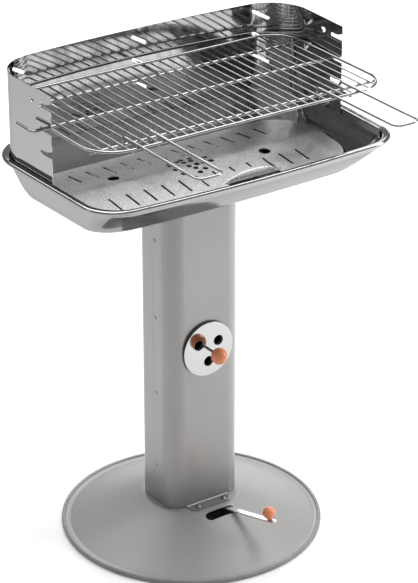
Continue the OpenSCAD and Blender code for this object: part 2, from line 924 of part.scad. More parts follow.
// Places and sizes of the holes over the column, as shares of the cluster's half width
cluster_r = 42;
cluster_hole_d = 10.5;
cluster_shares = [[0, -0.45], [0.24, -0.18], [-0.16, -0.18], [0.34, -0.68], [-0.04, -0.86],
                  [0.95, -0.2], [-0.88, -0.2], [-0.78, -0.68], [0.56, -0.2], [0.95, 0.28],
                  [0.22, 0.27], [-0.15, 0.27], [0.34, 0.55], [-0.07, 0.62], [-0.33, 0.53],
                  [-0.86, 0.28], [-0.75, 0.52]];

// Outline of the plate, flat
module plate_outline() {
    polygon(whole_outline(half_outline(plate_w / 2, 0, plate_half_d, plate_half_d,
        plate_corner_r, plate_corner_r, plate_corner_r, 0, 0, ring_n)));
}

// One sloping half of the plate, face -1 for the front and 1 for the back
module plate_half(face) {
    translate([0, 0, ridge_z])
        rotate([-face * plate_slope, 0, 0])
            translate([0, 0, -plate_sheet])
                linear_extrude(height = plate_sheet)
                    intersection() {
                        plate_outline();
                        translate([-plate_w / 2, face > 0 ? 0 : -plate_half_d])
                            square([plate_w, plate_half_d]);
                    }
}

// Feet folded down from the plate onto the bowl's floor
module plate_foot(x, y) {
    half_w = plate_slot_pitch / 3;
    top = ridge_z - abs(y) * tan(plate_slope) - plate_sheet / 2;
    translate([x, y, 0])
        block([-half_w, -plate_sheet / 2, inner_floor_z + seat_gap],
              [half_w, plate_sheet / 2, top]);
}

// The bent-up lip by which the plate is lifted out
module lifting_lip() {
    chord_r = (pow(lift_lip_l / 2, 2) + pow(lift_lip_h, 2)) / (2 * lift_lip_h);
    low = ridge_z - lip_y * tan(plate_slope) - plate_sheet / 2;
    translate([lip_x, -lip_y, low])
        rotate([90, 0, 0])
            linear_extrude(height = plate_sheet)
                intersection() {
                    translate([0, lift_lip_h - chord_r])
                        circle(r = chord_r, $fn = 160);
                    translate([-lift_lip_l / 2, -plate_sheet / 2])
                        square([lift_lip_l, lift_lip_h * 2]);
                }
}

module charcoal_plate() {
    hole_h = ridge_h * 2;
    color([0.66, 0.65, 0.64])
    difference() {
        union() {
            plate_half(-1);
            plate_half(1);
            for (x = [-1, 1], y = [-1, 1])
                plate_foot(x * plate_slot_pitch * 5, y * (plate_slot_in + plate_slot_w) * 1.9);
            lifting_lip();
        }
        for (x = slot_xs, face = [-1, 1]) {
            l = face < 0 && is_short(x) ? short_slot_l : plate_slot_l;
            translate([x, face * (plate_slot_in + l / 2), inner_floor_z])
                rotate([0, 0, 90])
                    stadium_x(l, plate_slot_w, hole_h);
        }
        for (side = [-1, 1])
            translate([side * finger_hole_x, -side * finger_hole_d * 1.1, inner_floor_z])
                cylinder(d = finger_hole_d, h = hole_h);
        for (s = cluster_shares)
            translate([s[0] * cluster_r, s[1] * cluster_r, inner_floor_z])
                cylinder(d = cluster_hole_d, h = hole_h);
        // Opening that the lip leaves in front of itself
        translate([lip_x, -lip_y - plate_sheet * 2 - lift_lip_h / 3, inner_floor_z])
            stadium_x(lift_lip_l * 0.86, lift_lip_h * 0.6, ridge_h);
    }
}

// Windshield

// Outline a distance inside the mouth, seen from above
module shield_outline(inset) {
    polygon(whole_outline(half_outline(mouth_half_w - inset, side_taper,
        mouth_front - inset, mouth_rear - inset, front_corner_rx, front_corner_ry,
        rear_corner_r - inset, front_bow, rear_bow, ring_n * 2)));
}

// A notch in the side, open to the front, for one level
module side_notch(z) {
    end_y = notch_l - shield_front - notch_h / 2;
    translate([-mouth_half_w * 2, 0, z])
        rotate([0, 90, 0])
            linear_extrude(height = mouth_half_w * 4) {
                translate([0, end_y])
                    circle(d = notch_h);
                polygon([[notch_h / 2, end_y], [-notch_h / 2, end_y],
                         [-notch_h / 2, end_y - notch_l * 0.45],
                         [notch_h / 2 - notch_mouth_h, -shield_front - cut_over],
                         [notch_h / 2, -shield_front - cut_over]]);
            }
}

// A slanting slot in the back
module back_slot(x, z) {
    translate([x, 0, z])
        rotate([90, 0, 0])
            rotate([0, 0, -30])
                translate([0, 0, -mouth_rear - cut_over * 2])
                    stadium_x(back_slot_l, back_slot_w, mouth_rear * 0.7);
}

back_slot_x = 262;
levels_z = [for (i = [0:2]) level_low_z + i * level_pitch];
peg_rise = seat_gap * 4;

// The straight side of the mouth, from its front corner to its rear corner
mouth_line = half_outline(mouth_half_w, side_taper, mouth_front, mouth_rear,
    front_corner_rx, front_corner_ry, rear_corner_r, front_bow, rear_bow, ring_n);
side_low = mouth_line[ring_n * 2];
side_high = mouth_line[ring_n * 2 + 1];
side_turn = atan((side_high[0] - side_low[0]) / (side_high[1] - side_low[1]));

module shield_screw_places() {
    for (side = [-1, 1], y = shield_screw_y)
        translate([side * (side_high[0] - (side_high[1] - y) * tan(side_turn)), y,
                   shield_screw_z])
            rotate([0, 0, -side * side_turn])
                rotate([0, side * 90, 0])
                    children();
}

module windshield() {
    spit_y = shield_front * 0.5;
    spit_z = level_low_z + level_pitch * 2 + spit_hole_d * 0.1;
    color([0.80, 0.81, 0.82])
    difference() {
        translate([0, 0, shield_bottom_z])
            linear_extrude(height = shield_top_z - shield_bottom_z)
                intersection() {
                    difference() {
                        shield_outline(shield_in);
                        shield_outline(shield_in + shield_sheet);
                    }
                    translate([-mouth_half_w, -shield_front])
                        square([mouth_half_w * 2, shield_front + mouth_rear]);
                }
        for (z = levels_z)
            side_notch(z);
        for (z = levels_z, x = [-back_slot_x, 0, back_slot_x])
            back_slot(x, z + peg_rise);
        // Spit holes, each with a small slot at its side
        bar_x(-mouth_half_w * 2, mouth_half_w * 2, spit_y, spit_z, spit_hole_d);
        bar_x(-mouth_half_w * 2, mouth_half_w * 2, spit_y + spit_hole_d * 0.55,
              spit_z + spit_hole_d * 0.2, spit_hole_d / 2);
        shield_screw_places()
            translate([0, 0, -cut_over * 4])
                cylinder(d = screw_d + seat_gap, h = cut_over * 6);
    }
}

module windshield_screws() {
    color([0.78, 0.78, 0.80])
    shield_screw_places()
        translate([0, 0, bowl_sheet + weld_gap])
            screw(bowl_sheet + shield_sheet + seat_gap * 3 + nut_h + soft_r / 2);
}

module windshield_nuts() {
    color([0.70, 0.70, 0.72])
    shield_screw_places()
        translate([0, 0, -shield_sheet - seat_gap * 4 - nut_h])
            hex_nut(screw_d + running_gap * 2);
}

// Grill

module grill_frame() {
    front_x = grill_half_w - grill_front_r;
    rear_x = grill_half_w - grill_rear_r;
    color([0.84, 0.84, 0.85])
    union() {
        bar_x(-front_x, front_x, -grill_front, frame_z, frame_wire_d);
        bar_x(-rear_x, rear_x, grill_rear, frame_z, frame_wire_d);
        for (side = [-1, 1])
            bar_y(grill_front_r - grill_front, grill_rear - grill_rear_r,
                  side * grill_half_w, frame_z, frame_wire_d);
        flat_bend(front_x, grill_front_r - grill_front, frame_z, grill_front_r,
                  -90, 90, frame_wire_d);
        flat_bend(-front_x, grill_front_r - grill_front, frame_z, grill_front_r,
                  180, 90, frame_wire_d);
        flat_bend(rear_x, grill_rear - grill_rear_r, frame_z, grill_rear_r,
                  0, 90, frame_wire_d);
        flat_bend(-rear_x, grill_rear - grill_rear_r, frame_z, grill_rear_r,
                  90, 90, frame_wire_d);
    }
}

// How far a wire at x ends inside the frame's middle line, at a corner of radius r
function wire_short(x, r) =
    let (over = max(0, abs(x) - grill_half_w + r))
    let (clear = frame_wire_d / 2 + weld_gap * 2)
    r - sqrt(pow(r - clear, 2) - pow(over, 2));

// The front rod ends under the frame's front corners
front_rod_over = front_rod_y - grill_front + grill_front_r;
front_rod_half = grill_half_w - grill_front_r
    + sqrt(pow(grill_front_r, 2) - pow(front_rod_over, 2));

module grill_wires() {
    color([0.86, 0.86, 0.87])
    for (i = [0:grill_wires_n - 1]) {
        x = (i - (grill_wires_n - 1) / 2) * grill_pitch;
        edge = abs(x) + grill_wire_d / 2;
        bar_y(wire_short(edge, grill_front_r) - grill_front,
              grill_rear - wire_short(edge, grill_rear_r), x, wire_z, grill_wire_d);
    }
}

module grill_cross_rods() {
    color([0.84, 0.84, 0.85])
    union() {
        // Middle rod, whose ends pass through the notches and turn back as hooks
        bar_x(hook_bend_r - hook_x, hook_x - hook_bend_r, -middle_rod_y, rod_z, rod_d);
        for (side = [-1, 1]) {
            bar_y(hook_bend_r - middle_rod_y, hook_l - middle_rod_y, side * hook_x, rod_z,
                  rod_d);
            flat_bend(side * (hook_x - hook_bend_r), hook_bend_r - middle_rod_y, rod_z,
                      hook_bend_r, side > 0 ? -90 : 180, 90, rod_d);
        }
        bar_x(-grill_half_w, grill_half_w, rear_rod_y, rod_z, rod_d);
        bar_x(-front_rod_half, front_rod_half, -front_rod_y, rod_z, rod_d);
    }
}

module grill_rear_pegs() {
    color([0.84, 0.84, 0.85])
    for (x = [-back_slot_x, 0, back_slot_x])
        bar_y(rear_rod_y + rod_d, mouth_rear + soft_r * 2 - (x == 0 ? 0 : soft_r * 2), x,
              frame_z - frame_wire_d / 2 - rod_d / 3 - weld_gap, rod_d * 0.66);
}

// Handles

module handle(side) {
    low_z = leg_z - handle_hook_r * 2;
    tip_y = -handle_reach + handle_tip_r;
    hook_y = -front_rod_y + soft_r;
    half = handle_gap / 2;
    color([0.84, 0.84, 0.85])
    translate([side * handle_x, 0, 0])
        union() {
            bar_x(handle_tip_r - half, half - handle_tip_r, -handle_reach, leg_z,
                  handle_wire_d);
            flat_bend(half - handle_tip_r, tip_y, leg_z, handle_tip_r, -90, 90,
                      handle_wire_d);
            flat_bend(handle_tip_r - half, tip_y, leg_z, handle_tip_r, 180, 90,
                      handle_wire_d);
            for (leg = [-half, half]) {
                bar_y(tip_y, hook_y, leg, leg_z, handle_wire_d);
                // Hook that turns down and forward under the front cross rod
                translate([leg, hook_y, leg_z - handle_hook_r])
                    rotate([90, 0, 90])
                        rotate([0, 0, -90])
                            rotate_extrude(angle = 180)
                                translate([handle_hook_r, 0])
                                    circle(d = handle_wire_d);
                bar_y(hook_y - rod_d * 4, hook_y, leg, low_z, handle_wire_d);
            }
        }
}

module handle_left() {
    handle(-1);
}

module handle_right() {
    handle(1);
}

base_disc();
base_edging();
column_front();
column_rear();
column_head_frame();
foot_screws();
foot_nuts();
seam_screws();
head_bolts();
head_nuts();
damper_pivot();
damper_pivot_nut();
damper_plate();
damper_lever();
damper_rivets();
damper_knob();
vent_disc();
vent_spindle();
vent_washer();
vent_nut();
vent_knob();
bowl();
charcoal_plate();
windshield();
windshield_screws();
windshield_nuts();
grill_frame();
grill_wires();
grill_cross_rods();
grill_rear_pegs();
handle_left();
handle_right();
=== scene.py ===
# Free-standing charcoal barbecue on a steel column, dressed for a studio picture.
# All sizes are in metres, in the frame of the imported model.
import math

import bmesh
import bpy
from mathutils import Matrix, Vector


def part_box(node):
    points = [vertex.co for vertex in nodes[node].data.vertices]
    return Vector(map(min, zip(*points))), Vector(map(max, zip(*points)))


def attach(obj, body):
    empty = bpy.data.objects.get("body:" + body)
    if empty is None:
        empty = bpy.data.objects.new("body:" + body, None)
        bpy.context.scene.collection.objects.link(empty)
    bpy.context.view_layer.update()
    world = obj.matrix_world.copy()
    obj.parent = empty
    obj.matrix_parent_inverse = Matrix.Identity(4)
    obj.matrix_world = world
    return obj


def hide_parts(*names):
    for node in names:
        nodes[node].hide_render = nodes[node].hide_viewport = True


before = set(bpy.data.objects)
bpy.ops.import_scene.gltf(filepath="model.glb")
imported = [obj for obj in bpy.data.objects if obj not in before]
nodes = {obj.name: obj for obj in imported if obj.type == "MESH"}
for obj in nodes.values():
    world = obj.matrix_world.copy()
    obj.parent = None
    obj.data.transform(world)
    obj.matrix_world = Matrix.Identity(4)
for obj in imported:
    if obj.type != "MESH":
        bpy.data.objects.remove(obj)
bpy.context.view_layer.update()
scene = bpy.context.scene
print("frame loaded")

# Heights and places that several pieces share
shared = {
    "baseTop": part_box("column_front")[0].z,
    "floorZ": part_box("bowl")[0].z,
    "rimZ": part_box("bowl")[1].z,
    "leverTurn": 13.5,         # the lever rests this far to the right, in degrees
    "screwHole": 0.00265,
    "ventHoles": (0.025, 0.010, (30, 150, 270)),   # ring, radius and angles
    "overrun": 0.01,           # how far a cutter stands out of what it cuts
}


# Mesh helpers

def addObject(name, data):
    obj = bpy.data.objects.new(name, data)
    scene.collection.objects.link(obj)
    return obj


def addMesh(name, points, faces):
    mesh = bpy.data.meshes.new(name)
    mesh.from_pydata([tuple(p) for p in points], [], faces)
    return addObject(name, mesh)


def loft(name, rings, closed=False):
    # joins closed rings of equal length, with a cap at each end of an open run
    count = len(rings[0])
    points = [p for ring in rings for p in ring]
    faces = []
    for k in range(len(rings) if closed else len(rings) - 1):
        a, b = k * count, ((k + 1) % len(rings)) * count
        for i in range(count):
            j = (i + 1) % count
            faces.append((a + i, a + j, b + j, b + i))
    if not closed:
        faces.append(tuple(reversed(range(count))))
        faces.append(tuple(range(len(points) - count, len(points))))
    return addMesh(name, points, faces)


def polar(radius, a):
    return radius * math.cos(a), radius * math.sin(a)


def circle(radius, count):
    return [polar(radius, 2 * math.pi * i / count) for i in range(count)]


def arc(center, radius, start, end, count):
    # angles in degrees; a height in the centre is kept
    points = []
    for i in range(count + 1):
        u, v = polar(radius, math.radians(start + (end - start) * i / count))
        points.append((center[0] + u, center[1] + v, *center[2:]))
    return points


def lathe(name, profile, segments):
    # turns a closed (radius, height) profile about Z; a point on the axis is one vertex
    points, faces, index = [], [], []
    for r, z in profile:
        if r < 1e-6:
            index.append([len(points)] * segments)
            points.append((0, 0, z))
        else:
            index.append(list(range(len(points), len(points) + segments)))
            points += [(x, y, z) for x, y in circle(r, segments)]
    for k in range(len(profile)):
        low, high = index[k], index[(k + 1) % len(profile)]
        for i in range(segments):
            j = (i + 1) % segments
            face = tuple(dict.fromkeys((low[i], low[j], high[j], high[i])))
            if len(face) > 2:
                faces.append(face)
    return addMesh(name, points, faces)


def sweep(name, path, radius, sides=14, closed=False):
    # round wire along a path, with a frame carried along it so that it never twists
    path = [Vector(p) for p in path]
    last = len(path) - 1
    tangents = []
    for i in range(last + 1):
        before = path[i - 1] if closed or i else path[i]
        after = path[(i + 1) % (last + 1)] if closed or i < last else path[i]
        tangents.append((after - before).normalized())
    side = tangents[0].orthogonal().normalized()
    frames = []
    for tangent in tangents:
        side = (side - tangent * side.dot(tangent)).normalized()
        frames.append((side.copy(), tangent.cross(side)))

    def ring(i, share=1.0, push=0.0):
        center = path[i] + tangents[i] * push
        u, v = frames[i]
        return [center + (u * x + v * y) * radius * share for x, y in circle(1, sides)]

    rings = [ring(i) for i in range(last + 1)]
    if not closed:   # round ends
        steps = [(math.cos(a), radius * math.sin(a)) for a in (0.4, 0.8, 1.2)]
        start = [ring(0, share, -push) for share, push in reversed(steps)]
        end = [ring(last, share, push) for share, push in steps]
        rings = start + rings + end
    return loft(name, rings, closed)


def extrude(name, outline, low, high):
    # upright prism over an outline in the XY plane
    return loft(name, [[(x, y, z) for x, y in outline] for z in (low, high)])


def rectangle(x, y):
    return [(-x, -y), (x, -y), (x, y), (-x, y)]


def stadium(length, width, count=10):
    # outline with round ends, along X
    half = (length - width) / 2
    return (arc((half, 0), width / 2, -90, 90, count)
            + arc((-half, 0), width / 2, 90, 270, count))


def roundedBox(half, front, rear, frontCorner, rearCorner, count):
    # outline with four round corners, from the right front one on
    outline = []
    for x, y, r, start in ((half, -front, frontCorner, -90), (half, rear, rearCorner, 0),
                           (-half, rear, rearCorner, 90), (-half, -front, frontCorner, 180)):
        center = (x - math.copysign(r, x), y - math.copysign(r, y))
        outline += arc(center, r, start, start + 90, count)
    return outline


def fourPlaces(x, y):
    return [(i * x, j * y) for i in (-1, 1) for j in (-1, 1)]


def moved(obj, matrix):
    obj.data.transform(matrix)
    return obj


def at(x, y, z):
    return Matrix.Translation((x, y, z))


def turned(degrees, axis):
    return Matrix.Rotation(math.radians(degrees), 4, axis)


def hole(radius, low, high, x=0, y=0, sides=24):
    # upright round cutter
    return moved(extrude("hole", circle(radius, sides), low, high), at(x, y, 0))


def bake(obj):
    # applies the modifiers to the mesh
    bpy.context.view_layer.update()
    result = obj.evaluated_get(bpy.context.evaluated_depsgraph_get())
    mesh = bpy.data.meshes.new_from_object(result)
    obj.modifiers.clear()
    old = obj.data
    obj.data = mesh
    bpy.data.meshes.remove(old)
    return obj


def drop(obj):
    mesh = obj.data
    bpy.data.objects.remove(obj)
    bpy.data.meshes.remove(mesh)


def join(name, pieces):
    # one mesh out of several, each left as its own island
    mesh = bmesh.new()
    for piece in pieces:
        mesh.from_mesh(piece.data)
    result = bpy.data.meshes.new(name)
    mesh.to_mesh(result)
    mesh.free()
    for piece in pieces:
        drop(piece)
    return addObject(name, result)


def edited(obj, change):
    mesh = bmesh.new()
    mesh.from_mesh(obj.data)
    change(mesh)
    mesh.to_mesh(obj.data)
    mesh.free()
    return obj


def outward(obj):
    return edited(obj, lambda mesh: bmesh.ops.recalc_face_normals(mesh, faces=mesh.faces))


def bend(obj, cuts, place):
    # cuts the mesh across at each Y, then moves every vertex to its place
    def change(mesh):
        for y in cuts:
            bmesh.ops.bisect_plane(mesh, geom=mesh.verts[:] + mesh.edges[:] + mesh.faces[:],
                                   plane_co=(0, y, 0), plane_no=(0, 1, 0))
        for v in mesh.verts:
            v.co = place(*v.co)
    return edited(obj, change)


def combine(obj, cutters, operation="DIFFERENCE"):
    outward(obj)
    for cutter in cutters:
        outward(cutter)
        step = obj.modifiers.new("cut", "BOOLEAN")
        step.operation = operation
        step.solver = "EXACT"
        step.object = cutter
    bake(obj)
    for cutter in cutters:
        drop(cutter)
    return obj


def soften(obj, width, segments=2, angle=40):
    # small bevel on every edge sharper than the angle
    step = obj.modifiers.new("soften", "BEVEL")
    step.width = width
    step.segments = segments
    step.limit_method = "ANGLE"
    step.angle_limit = math.radians(angle)
    return bake(obj)


def shade(obj, angle):
    # smooth faces, with a sharp edge where two meet at more than the angle
    def change(mesh):
        bmesh.ops.remove_doubles(mesh, verts=mesh.verts, dist=1e-6)
        bmesh.ops.recalc_face_normals(mesh, faces=mesh.faces)
        for face in mesh.faces:
            face.smooth = True
        for edge in mesh.edges:
            edge.smooth = not (len(edge.link_faces) == 2
                               and edge.calc_face_angle(0) > math.radians(angle))
    edited(obj, change)
    step = obj.modifiers.new("normals", "WEIGHTED_NORMAL")
    step.keep_sharp = True
    bake(obj)


def fit(obj, body, look, replaced=(), angle=40):
    # last step for each piece: shading, finish, body and the nodes that it stands for
    shade(obj, angle)
    material, slot = finish[look]
    obj.data.materials.clear()
    obj.data.materials.append(material)
    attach(obj, body)
    if replaced:
        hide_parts(*replaced)


# Finishes: a noise is given as scale, detail, stretch and roughness, a bump as strength and depth

def newMaterial(name, color, metallic, roughness):
    material = bpy.data.materials.new(name)
    material.use_nodes = True
    shader = material.node_tree.nodes["Principled BSDF"]
    shader.inputs["Base Color"].default_value = (*color, 1)
    shader.inputs["Metallic"].default_value = metallic
    shader.inputs["Roughness"].default_value = roughness
    return material, shader


def addNode(tree, kind, **values):
    node = tree.nodes.new(kind)
    for key, value in values.items():
        if key in node.inputs:
            node.inputs[key].default_value = value
        else:
            setattr(node, key, value)
    return node


def objectTexture(tree, kind, turn=(0, 0, 0), stretch=(1, 1, 1), **values):
    # texture laid out in the piece's own coordinates
    place = addNode(tree, "ShaderNodeTexCoord")
    mapping = addNode(tree, "ShaderNodeMapping", Rotation=turn, Scale=stretch)
    texture = addNode(tree, kind, **values)
    tree.links.new(place.outputs["Object"], mapping.inputs["Vector"])
    tree.links.new(mapping.outputs["Vector"], texture.inputs["Vector"])
    return texture.outputs["Fac"]


def objectNoise(shader, scale, detail=3.0, stretch=(1, 1, 1), rough=0.5):
    return objectTexture(shader.id_data, "ShaderNodeTexNoise", stretch=stretch, Scale=scale,
                         Detail=detail, Roughness=rough)


def addBump(shader, height, strength, distance):
    tree = shader.id_data
    bump = addNode(tree, "ShaderNodeBump", Strength=strength, Distance=distance)
    tree.links.new(height, bump.inputs["Height"])
    tree.links.new(bump.outputs["Normal"], shader.inputs["Normal"])


def addSpread(shader, value, low, high):
    # the roughness follows a noise between two values
    tree = shader.id_data
    spread = addNode(tree, "ShaderNodeMapRange", **{"From Min": 0.3, "From Max": 0.7,
                                                    "To Min": low, "To Max": high})
    tree.links.new(value, spread.inputs["Value"])
    tree.links.new(spread.outputs["Result"], shader.inputs["Roughness"])


def addTint(shader, value, dark, light):
    # the colour follows a noise between two colours
    tree = shader.id_data
    ramp = addNode(tree, "ShaderNodeValToRGB")
    for element, position, color in zip(ramp.color_ramp.elements, (0.35, 0.65), (dark, light)):
        element.position = position
        element.color = (*color, 1)
    tree.links.new(value, ramp.inputs["Fac"])
    tree.links.new(ramp.outputs["Color"], shader.inputs["Base Color"])


def shades(color, low, high=1.0):
    return tuple(c * low for c in color), tuple(c * high for c in color)


def mixedMaterial(name, color, metallic, roughness, tint, tones, patch=None, span=None,
                  grain=None, bump=None):
    # colour, roughness and surface each follow a noise of their own
    material, shader = newMaterial(name, color, metallic, roughness)
    addTint(shader, objectNoise(shader, *tint), *tones)
    if patch:
        addSpread(shader, objectNoise(shader, *patch), *span)
    if grain:
        addBump(shader, objectNoise(shader, *grain), *bump)
    return material


# the first rows give colour, metallic and roughness of each finish made this way
paintLook = {
    "column": ((0.325, 0.316, 0.312), 0.7, 0.3),
    "base": ((0.31, 0.302, 0.298), 0.2, 0.45),
    "cloud": (9.0, 2.0),
    "cloudShades": (0.98, 1.02),    # as shares of the colour
    "patch": (25.0, 1.0),
    "patchSpan": (-0.01, 0.015),    # added to the roughness
    "grain": (900.0, 1.0),          # a faint orange peel
    "bump": (0.06, 0.00004),
}

zincLook = {
    # painted reflection: the lip is the plate's own steel, given a near-white colour so that it
    # shows as a white reflection
    "lip": ((0.9, 0.895, 0.89), 1.0, 0.25),
    "zinc": ((0.3, 0.3, 0.3), 1.0, 0.3),
    "lever": ((0.66, 0.66, 0.66), 1.0, 0.28),
    "cloud": (60.0,),
    "cloudShades": (0.94, 1.0),
    "patch": (90.0, 1.0),
    "patchSpan": (-0.02, 0.03),
}


def clouded(name, look, kind):
    # sprayed paint or plating: colour and roughness stay near one value
    color, metallic, roughness = look[kind]
    return mixedMaterial(name, color, metallic, roughness, look["cloud"],
                         shades(color, *look["cloudShades"]), look["patch"],
                         [roughness + change for change in look["patchSpan"]],
                         look.get("grain"), look.get("bump"))


sheetLook = {
    "bowl": {"color": (0.43, 0.425, 0.42), "gloss": (0.07, 0.15), "stretch": (0.15, 1, 1),
             "wave": 0.3},
    "shield": {"color": (0.47, 0.47, 0.47), "gloss": (0.04, 0.09), "stretch": (1, 1, 0.12),
               "wave": 0.06},
    "disc": {"color": (0.52, 0.52, 0.52), "gloss": (0.04, 0.09), "stretch": (1, 1, 1),
             "wave": 0.09},
    "edgeTint": (0.5, 0.5, 0.5, 1),   # how bright a sheet gets where it is seen edge on
    "cloud": (12.0, 1.0),
    "cloudShade": 0.97,
    "rub": (70.0, 4.0),       # scale and detail of the rubbing marks
    "press": (9.0, 0.0),      # slow waviness left by the press
    "pressDepth": 0.0004,
}


def polishedSheet(name, kind):
    # pressed stainless sheet: slow waves, and rubbing marks along one way
    s, own = sheetLook, sheetLook[kind]
    color, gloss = own["color"], own["gloss"]
    material = mixedMaterial(name, color, 1.0, gloss[0], s["cloud"],
                             shades(color, s["cloudShade"]), (*s["rub"], own["stretch"]), gloss,
                             s["press"], (own["wave"], s["pressDepth"]))
    shader = material.node_tree.nodes["Principled BSDF"]
    shader.inputs["Specular Tint"].default_value = s["edgeTint"]
    return material


speckle = (650.0, 2.0, (0.45, 1, 1), 0.7)    # short marks along the plate's length
mixedLook = {
    "edging": {"color": (0.24, 0.235, 0.23), "metallic": 0.0, "roughness": 0.5,
               "tint": (40.0,), "tones": ((0.22, 0.215, 0.21), (0.26, 0.255, 0.25)),
               "grain": (1500.0, 2.0), "bump": (0.2, 0.00008)},
    "plate": {"color": (0.56, 0.555, 0.55), "metallic": 0.9, "roughness": 0.42,
              "tint": speckle, "tones": ((0.26, 0.255, 0.25), (0.56, 0.555, 0.55)),
              "patch": (22.0,), "span": (0.34, 0.5), "grain": speckle, "bump": (0.12, 0.0001)},
    "wire": {"color": (0.4, 0.4, 0.4), "metallic": 1.0, "roughness": 0.2,
             "tint": (25.0,), "tones": ((0.3, 0.295, 0.29), (0.4, 0.4, 0.4)),
             "patch": (90.0,), "span": (0.14, 0.26)},
}

woodLook = {
    "dark": (0.46, 0.13, 0.045),
    "light": (0.82, 0.27, 0.11),
    "roughness": 0.4,
    "ringTurn": (0.3, 0.2, 0),
    "rings": {"Scale": 150.0, "Distortion": 3.0, "Detail": 2.0},
    "ringShare": 0.35,
    "pores": (900.0, 2.0, (1, 0.12, 1)),
    "poreBump": (0.15, 0.0001),
    "varnish": {"Coat Weight": 0.35, "Coat Roughness": 0.15},
}


def turnedWood(name):
    # varnished beech: rings cut by the ball, with short dark pores
    w = woodLook
    material, shader = newMaterial(name, w["light"], 0.0, w["roughness"])
    tree = shader.id_data
    rings = objectTexture(tree, "ShaderNodeTexWave", turn=w["ringTurn"], **w["rings"])
    pores = objectNoise(shader, *w["pores"])
    blend = addNode(tree, "ShaderNodeMath", operation="MULTIPLY_ADD")
    blend.inputs[1].default_value = w["ringShare"]
    tree.links.new(rings, blend.inputs[0])
    tree.links.new(pores, blend.inputs[2])
    addTint(shader, blend.outputs["Value"], w["dark"], w["light"])
    addBump(shader, pores, *w["poreBump"])
    for socket, value in w["varnish"].items():
        shader.inputs[socket].default_value = value
    return material


# each finish with a slot name
finish = {
    "column": (clouded("satin paint, column", paintLook, "column"), "column_paint"),
    "base": (clouded("satin paint, base", paintLook, "base"), "base_paint"),
    "edging": (mixedMaterial("moulded edging", **mixedLook["edging"]), "edging_plastic"),
    "bowl": (polishedSheet("polished bowl sheet", "bowl"), "bowl_steel"),
    "shield": (polishedSheet("bright windshield sheet", "shield"), "shield_steel"),
    "disc": (polishedSheet("mirror disc", "disc"), "mirror_steel"),
    "plate": (mixedMaterial("dull rolled plate", **mixedLook["plate"]), "plate_steel"),
    # the plate's lifting lip: near-white metal, brighter than the plate it is bent from, as
    # painted reflection of the white backdrop
    "lip": (clouded("plate lip with painted reflection", zincLook, "lip"), "plate_steel"),
    "wire": (mixedMaterial("chromed wire", **mixedLook["wire"]), "chromed_wire"),
    "zinc": (clouded("zinc plate", zincLook, "zinc"), "zinc_steel"),
    "lever": (clouded("bright strip", zincLook, "lever"), "lever_steel"),
    "wood": (turnedWood("varnished turned wood"), "turned_wood"),
}
print("finishes ready")


# Studio

studio = {
    "floorHalf": 9.0,
    "floorColor": (0.93, 0.93, 0.93),
    "floorRoughness": 0.7,
    "floorCloud": (3.0,),
    "worldColor": (0.86, 0.87, 0.88),
    "worldStrength": 0.33,
    "cameraPlace": (-2.2683, -3.3859, 2.4582),
    "cameraBack": (-0.5071, -0.7433, 0.4363),   # from the object towards the camera
    "lens": 151.1,
    "lights": [
        # name, place, aim, width, height, power
        ("overhead softbox", (1.2, 1.3, 3.6), (1.2, 1.3, 0), 4.6, 5.0, 250),
        ("left softbox", (-3.4, 1.2, 1.9), (0, 0, 0.5), 0.8, 2.0, 6),
        ("right softbox", (3.0, -1.6, 1.9), (0, 0, 0.5), 0.9, 2.0, 68),
        ("rear softbox", (2.9, 3.6, 1.5), (0, 0, 0.5), 3.2, 1.4, 40),
    ],
}


def addAimed(name, data, place, back):
    # a light or a camera with its back turned to a direction
    obj = addObject(name, data)
    obj.location = place
    obj.rotation_mode = "QUATERNION"
    obj.rotation_quaternion = Vector(back).to_track_quat("Z", "Y")
    return obj


def addStudio():
    s = studio
    floor = addMesh("floor", [(x, y, 0) for x, y in rectangle(s["floorHalf"], s["floorHalf"])],
                    [(0, 1, 2, 3)])
    material, shader = newMaterial("pale floor", s["floorColor"], 0.0, s["floorRoughness"])
    addTint(shader, objectNoise(shader, *s["floorCloud"]), *shades(s["floorColor"], 1.0, 1.01))
    floor.data.materials.append(material)
    world = bpy.data.worlds.new("studio")
    scene.world = world
    world.use_nodes = True
    sky = world.node_tree.nodes["Background"]
    sky.inputs["Color"].default_value = (*s["worldColor"], 1)
    sky.inputs["Strength"].default_value = s["worldStrength"]
    for name, place, target, width, height, power in s["lights"]:
        lamp = bpy.data.lights.new(name, "AREA")
        lamp.shape = "RECTANGLE"
        lamp.size, lamp.size_y, lamp.energy = width, height, power
        addAimed(name, lamp, place, Vector(place) - Vector(target))
    data = bpy.data.cameras.new("camera")
    data.lens = s["lens"]
    scene.camera = addAimed("camera", data, s["cameraPlace"], s["cameraBack"])
    scene.view_settings.view_transform = "Standard"


addStudio()
print("studio ready")


# Base: one pressed disc with a flat middle, a groove near its edge and the lever's slot

base = {
    "flatRadius": 0.092,
    "bendRadius": 0.016,
    "edgeZ": 0.0045,          # underside of the flat edge
    "sheet": 0.0016,
    "grooveRadius": 0.234,
    "grooveWidth": 0.006,
    "grooveDepth": 0.0014,
    "grooveBends": (0.004, 0.003, 0.002),
    "slot": (0.065, 0.019),   # length and width
    "slotOverlap": 0.001,     # how far the slot cuts into the flat middle
    "airRing": 0.031,
    "airRadius": 0.0065,
    "airHoles": 6,
    "footScrews": (0.0289, 0.067),
    "pivotHole": 0.00315,
    "segments": 180,
}


